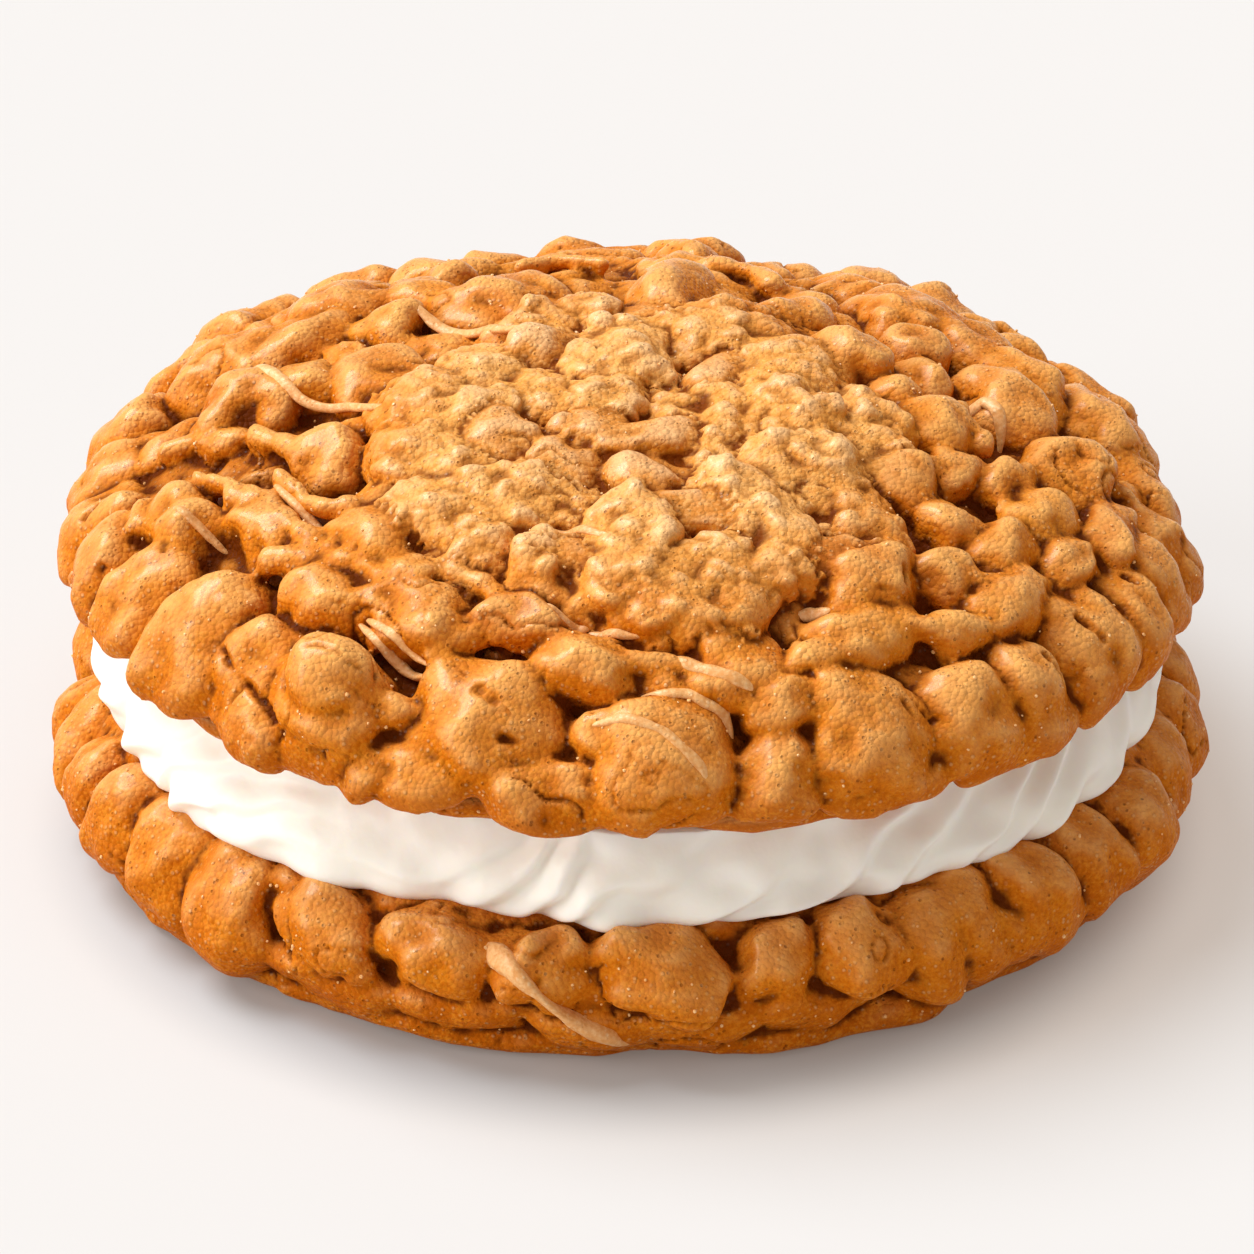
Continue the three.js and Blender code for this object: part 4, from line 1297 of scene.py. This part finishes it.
# Pale strands of dough drawn over the lumps: route, half widths from end to end, half thickness
topStrands = [
    ([(149, 22.5), (151, 18.1), (155.5, 13.5), (171, 8.9)], (0.8, 0.55, 0.5, 0.3), 0.4),
    ([(173.5, 33.5), (178.5, 30.7), (185, 28.5), (191, 24.7), (204.5, 21.8)],
     (0.6, 0.8, 0.45, 0.4, 0.5), 0.4),
    ([(202.5, 41.6), (206, 40.9), (209.5, 40.1)], (0.5, 0.4, 0.3), 0.35),
    ([(206, 33.5), (212, 33.6), (218.5, 33.6), (222, 33)], (0.6, 0.5, 0.5, 0.8), 0.4),
    ([(236, 40.5), (240, 41.7), (244, 42.8), (247.5, 43.8)], (0.35, 0.45, 0.45, 0.3), 0.35),
    ([(237, 40.1), (242, 41.2), (247.5, 42.8)], (0.35, 0.4, 0.25), 0.32),
    ([(254.5, 26.4), (260, 26.6), (266.5, 28.7)], (0.35, 0.5, 0.3), 0.3),
    ([(258.5, 35.7), (261.5, 36.5), (264.5, 36.3)], (0.25, 0.55, 0.7), 0.3),
    ([(264, 36.7), (267, 37.1), (271, 37.9)], (0.6, 0.6, 0.35), 0.3),
    ([(265, 46.3), (269, 45.9), (273, 47), (276.5, 49.7), (277, 51)], (0.3, 0.45, 0.4, 0.45, 0.3), 0.32),
    ([(270.5, 43.2), (276, 43.3), (279.5, 44.7), (280.5, 47)], (0.4, 0.45, 0.55, 0.35), 0.35),
    ([(274.5, 40), (279, 41.8), (283.5, 43.6)], (0.7, 0.5, 0.5), 0.4),
    ([(292, 35.9), (294, 36), (296, 37.1)], (0.5, 0.75, 0.4), 0.45),
    ([(360.5, 28.1), (359.5, 30.3), (353, 32.6)], (0.6, 0.8, 0.5), 0.5),
]
bottomStrands = [
    ([(256, 47.6), (259, 49.2), (262.5, 51.6), (266, 54.4), (270.5, 58)],
     (0.9, 1.3, 0.8, 0.45, 0.4, 0.65, 1.2, 0.9), 0.85),
]


def solidTree(obj, place):
    # a cookie's skin in its own frame, in mm, to lay small pieces on
    verts = pointsOf(obj.data) / mm
    back = np.array(place.inverted())
    verts = verts @ back[:3, :3].T + back[:3, 3]
    faces = [tuple(p.vertices) for p in obj.data.polygons]
    return BVHTree.FromPolygons([Vector(v) for v in verts], faces)


strandForm = {
    "sides": 12,
    "steps": 46,
    "reach": 9,  # how far over the profile the skin is looked for
    "taut": {"steps": 60, "give": 0.004},
    "sunk": 0.25,
    "smooth": 3,
    "taper": 3.5,
    "uneven": {"amount": 0.18, "waves": 1.1, "salt": 15},
    "ribs": {"count": 3, "height": 0.12},
}


def strandPath(skin, frames, thick, taper):
    # the middle line of a strand, lying on the skin and pulled taut over the gaps
    form, reach, rise = strandForm, strandForm["reach"], []
    for p, _, _, out in frames:
        hit = skin.ray_cast(Vector(p + out * reach), Vector(-out), 2 * reach)
        rise.append(reach - hit[3] if hit[0] else -1.0)
    rise = np.array(rise)
    for _ in range(form["taut"]["steps"]):
        rise[1:-1] = np.maximum(rise[1:-1], 0.5 * (rise[:-2] + rise[2:]) - form["taut"]["give"])
    lift = rise - form["sunk"] * thick - 0.5 * (1 - taper)
    path = np.array([p + out * h for (p, _, _, out), h in zip(frames, lift)])
    for _ in range(form["smooth"]):
        path[1:-1] = 0.25 * path[:-2] + 0.5 * path[1:-1] + 0.25 * path[2:]
    return path


def unit(vectors):
    return vectors / np.linalg.norm(vectors, axis=1)[:, None]


def strandBody(skin, line, route, widths, thick, phase):
    # a ribbed, tapered strand along a route of angles and distances
    sides, steps, uneven, ribs = (strandForm[key] for key in ("sides", "steps", "uneven", "ribs"))
    frames = [localFrame(line, a, d) for a, d in zip(*alongRoute(route, steps))]
    share = np.linspace(0, 1, steps)
    taper = np.sqrt((1 - np.abs(2 * share - 1) ** strandForm["taper"]).clip(0.01))
    path = strandPath(skin, frames, thick, taper)
    along = unit(np.gradient(path, axis=0))
    side = unit(np.cross(along, np.array([out for _, _, _, out in frames])))
    up = np.cross(side, along)
    width = np.interp(share, np.linspace(0, 1, len(widths)), widths)
    width *= 1 + uneven["amount"] * noise3(path * uneven["waves"], uneven["salt"])
    a = np.linspace(0, 2 * math.pi, sides, endpoint=False)
    rib = 1 + ribs["height"] * np.cos(ribs["count"] * a + phase)
    ring = path[:, None] + (width * taper)[:, None, None] * side[:, None] * (rib * np.cos(a))[None, :, None]
    ring = ring + thick * taper[:, None, None] * up[:, None] * (rib * np.sin(a))[None, :, None]
    starts = sides * np.arange(steps)
    faces = bandFaces(starts, sides)
    faces.append(capFaces(0, sides * steps, sides))
    faces.append(capFaces(starts[-1], sides * steps + 1, sides, turned=True))
    return np.vstack([ring.reshape(-1, 3), path[:1], path[-1:]]), np.vstack(faces)


def makeStrands(name, obj, heap, place, strands):
    skin = solidTree(obj, place)
    bodies = []
    for route, widths, thick in strands:
        phase = sum(len(v) for v, _ in bodies)  # only so that no two have their ribs alike
        bodies.append(strandBody(skin, heap.line, route, widths, thick, phase))
    addPiece(name, meshFrom(name, *joined(bodies)), place, strandMaterial)
    print(name + ":", len(strands), "strands")


makeStrands("topStrands", topObj, topHeap, topPlace, topStrands)
makeStrands("bottomStrands", bottomObj, bottomHeap, bottomPlace, bottomStrands)


# half sizes in mm; share is how much of the grains each cookie gets
sugar = {
    "count": 900, "low": 0.09, "high": 0.17, "sunk": 0.3, "share": (0.72, 0.28),
    "colours": ((0.86, 0.42, 0.12), (0.94, 0.60, 0.27)),
    "grain": 0.5,
    "rough": (0.34, 0.22),
    "bump": (0.3, 0.05),
}


def makeGrainMaterial():
    material, tree, shader, crumbed = crumbMaterial("sugarGrain", sugar)
    link(tree, mixColour(tree, crumbed.outputs["Mottle"], *sugar["colours"]), shader.inputs["Base Color"])
    return material


def makeSugar():
    # small pale grains stuck to the skins that the cream doesn't cover
    verts, faces = ballOf[1]
    grains = []
    for obj, share in zip((topObj, bottomObj), sugar["share"]):
        polygons = obj.data.polygons
        centre = np.array([p.center for p in polygons]) / mm
        normal = np.array([p.normal for p in polygons])
        area = np.array([p.area for p in polygons])
        outside = (centre[:, 2] > 16) | (np.hypot(centre[:, 0], centre[:, 1]) > 46.5)
        chance = area * ((normal[:, 2] > -0.3) & outside)
        for i in rng.choice(len(centre), int(sugar["count"] * share), p=chance / chance.sum()):
            size = sugar["low"] + (sugar["high"] - sugar["low"]) * rng.random() ** 2
            turn = np.linalg.qr(rng.normal(size=(3, 3)))[0]
            axes = turn * (size * (0.75 + 0.5 * rng.random(3)))[:, None]
            grains.append((centre[i] + normal[i] * sugar["sunk"] * size + verts @ axes, faces))
    mesh = meshFrom("sugarGrains", *joined(grains))
    addPiece("sugarGrains", mesh, Matrix.Identity(4), makeGrainMaterial())
    mesh.polygons.foreach_set("use_smooth", np.zeros(len(mesh.polygons), bool))
    print("sugar:", len(grains), "grains")


makeSugar()


# floor and light

setting = {
    "suns": {
        "key": {"energy": 3.1, "angle": 38, "colour": (0.98, 1.0, 1.02), "direction": (0.48, -0.30, -0.82)},
        "left": {"energy": 1.7, "angle": 40, "colour": (1.0, 0.98, 0.95), "direction": (0.92, 0.20, -0.34)},
        "front": {"energy": 0.3, "angle": 90, "colour": (1.0, 0.98, 0.95), "direction": (0.1, 0.9, -0.42)},
    },
    "sky": {"colour": (1.0, 0.93, 0.86), "strength": 0.44},
    "floor": {"colour": (0.361, 0.386, 0.41), "rough": 0.9, "specular": 0.1, "half": 3},  # half its side in m
    # painted light: the floor glows warm to lift the shadow on the paper, less so close to the cookie, which
    # leaves a painted contact shadow there
    "floorGlow": {"colour": (0.42, 0.36, 0.31), "centre": (-1, -7, 0), "from": 42, "to": 52, "least": 0.3},
}


def makeLights():
    scene = bpy.context.scene
    scene.view_settings.view_transform = "Standard"
    for name, values in setting["suns"].items():
        lamp = bpy.data.lights.new(name, "SUN")
        lamp.energy = values["energy"]
        lamp.angle = math.radians(values["angle"])
        lamp.color = values["colour"]
        obj = bpy.data.objects.new(name, lamp)
        scene.collection.objects.link(obj)
        obj.rotation_euler = Vector(values["direction"]).to_track_quat("-Z", "Y").to_euler()
    world = bpy.data.worlds.new("world")
    scene.world = world
    world.use_nodes = True
    sky = world.node_tree.nodes["Background"]
    sky.inputs["Color"].default_value = (*setting["sky"]["colour"], 1)
    sky.inputs["Strength"].default_value = setting["sky"]["strength"]


def makeFloor():
    material, tree, shader, place = newMaterial("paleFloor")
    material.cycles.emission_sampling = "NONE"  # its broad glow needs no light sampling
    form, glow = setting["floor"], setting["floorGlow"]
    # painted light: the floor glows warm, and glows less close to the cookie, a painted contact shadow
    away = addNode(tree, "ShaderNodeVectorMath", operation="DISTANCE")
    feed(tree, away.inputs[0], place)
    feed(tree, away.inputs[1], [n * mm for n in glow["centre"]])
    share = mapRange(tree, away.outputs["Value"], glow["from"] * mm, glow["to"] * mm, glow["least"], 1.0)
    shader.inputs["Base Color"].default_value = (*form["colour"], 1)
    shader.inputs["Roughness"].default_value = form["rough"]
    shader.inputs["Specular IOR Level"].default_value = form["specular"]
    shader.inputs["Emission Strength"].default_value = 1.0
    link(tree, mixColour(tree, share, (0, 0, 0), glow["colour"]), shader.inputs["Emission Color"])
    a = form["half"]
    mesh = meshFrom("floor", [(-a, -a, 0), (a, -a, 0), (a, a, 0), (-a, a, 0)], [(0, 1, 2, 3)])
    mesh.materials.append(material)
    floor = bpy.data.objects.new("floor", mesh)
    bpy.context.scene.collection.objects.link(floor)


makeLights()
makeFloor()
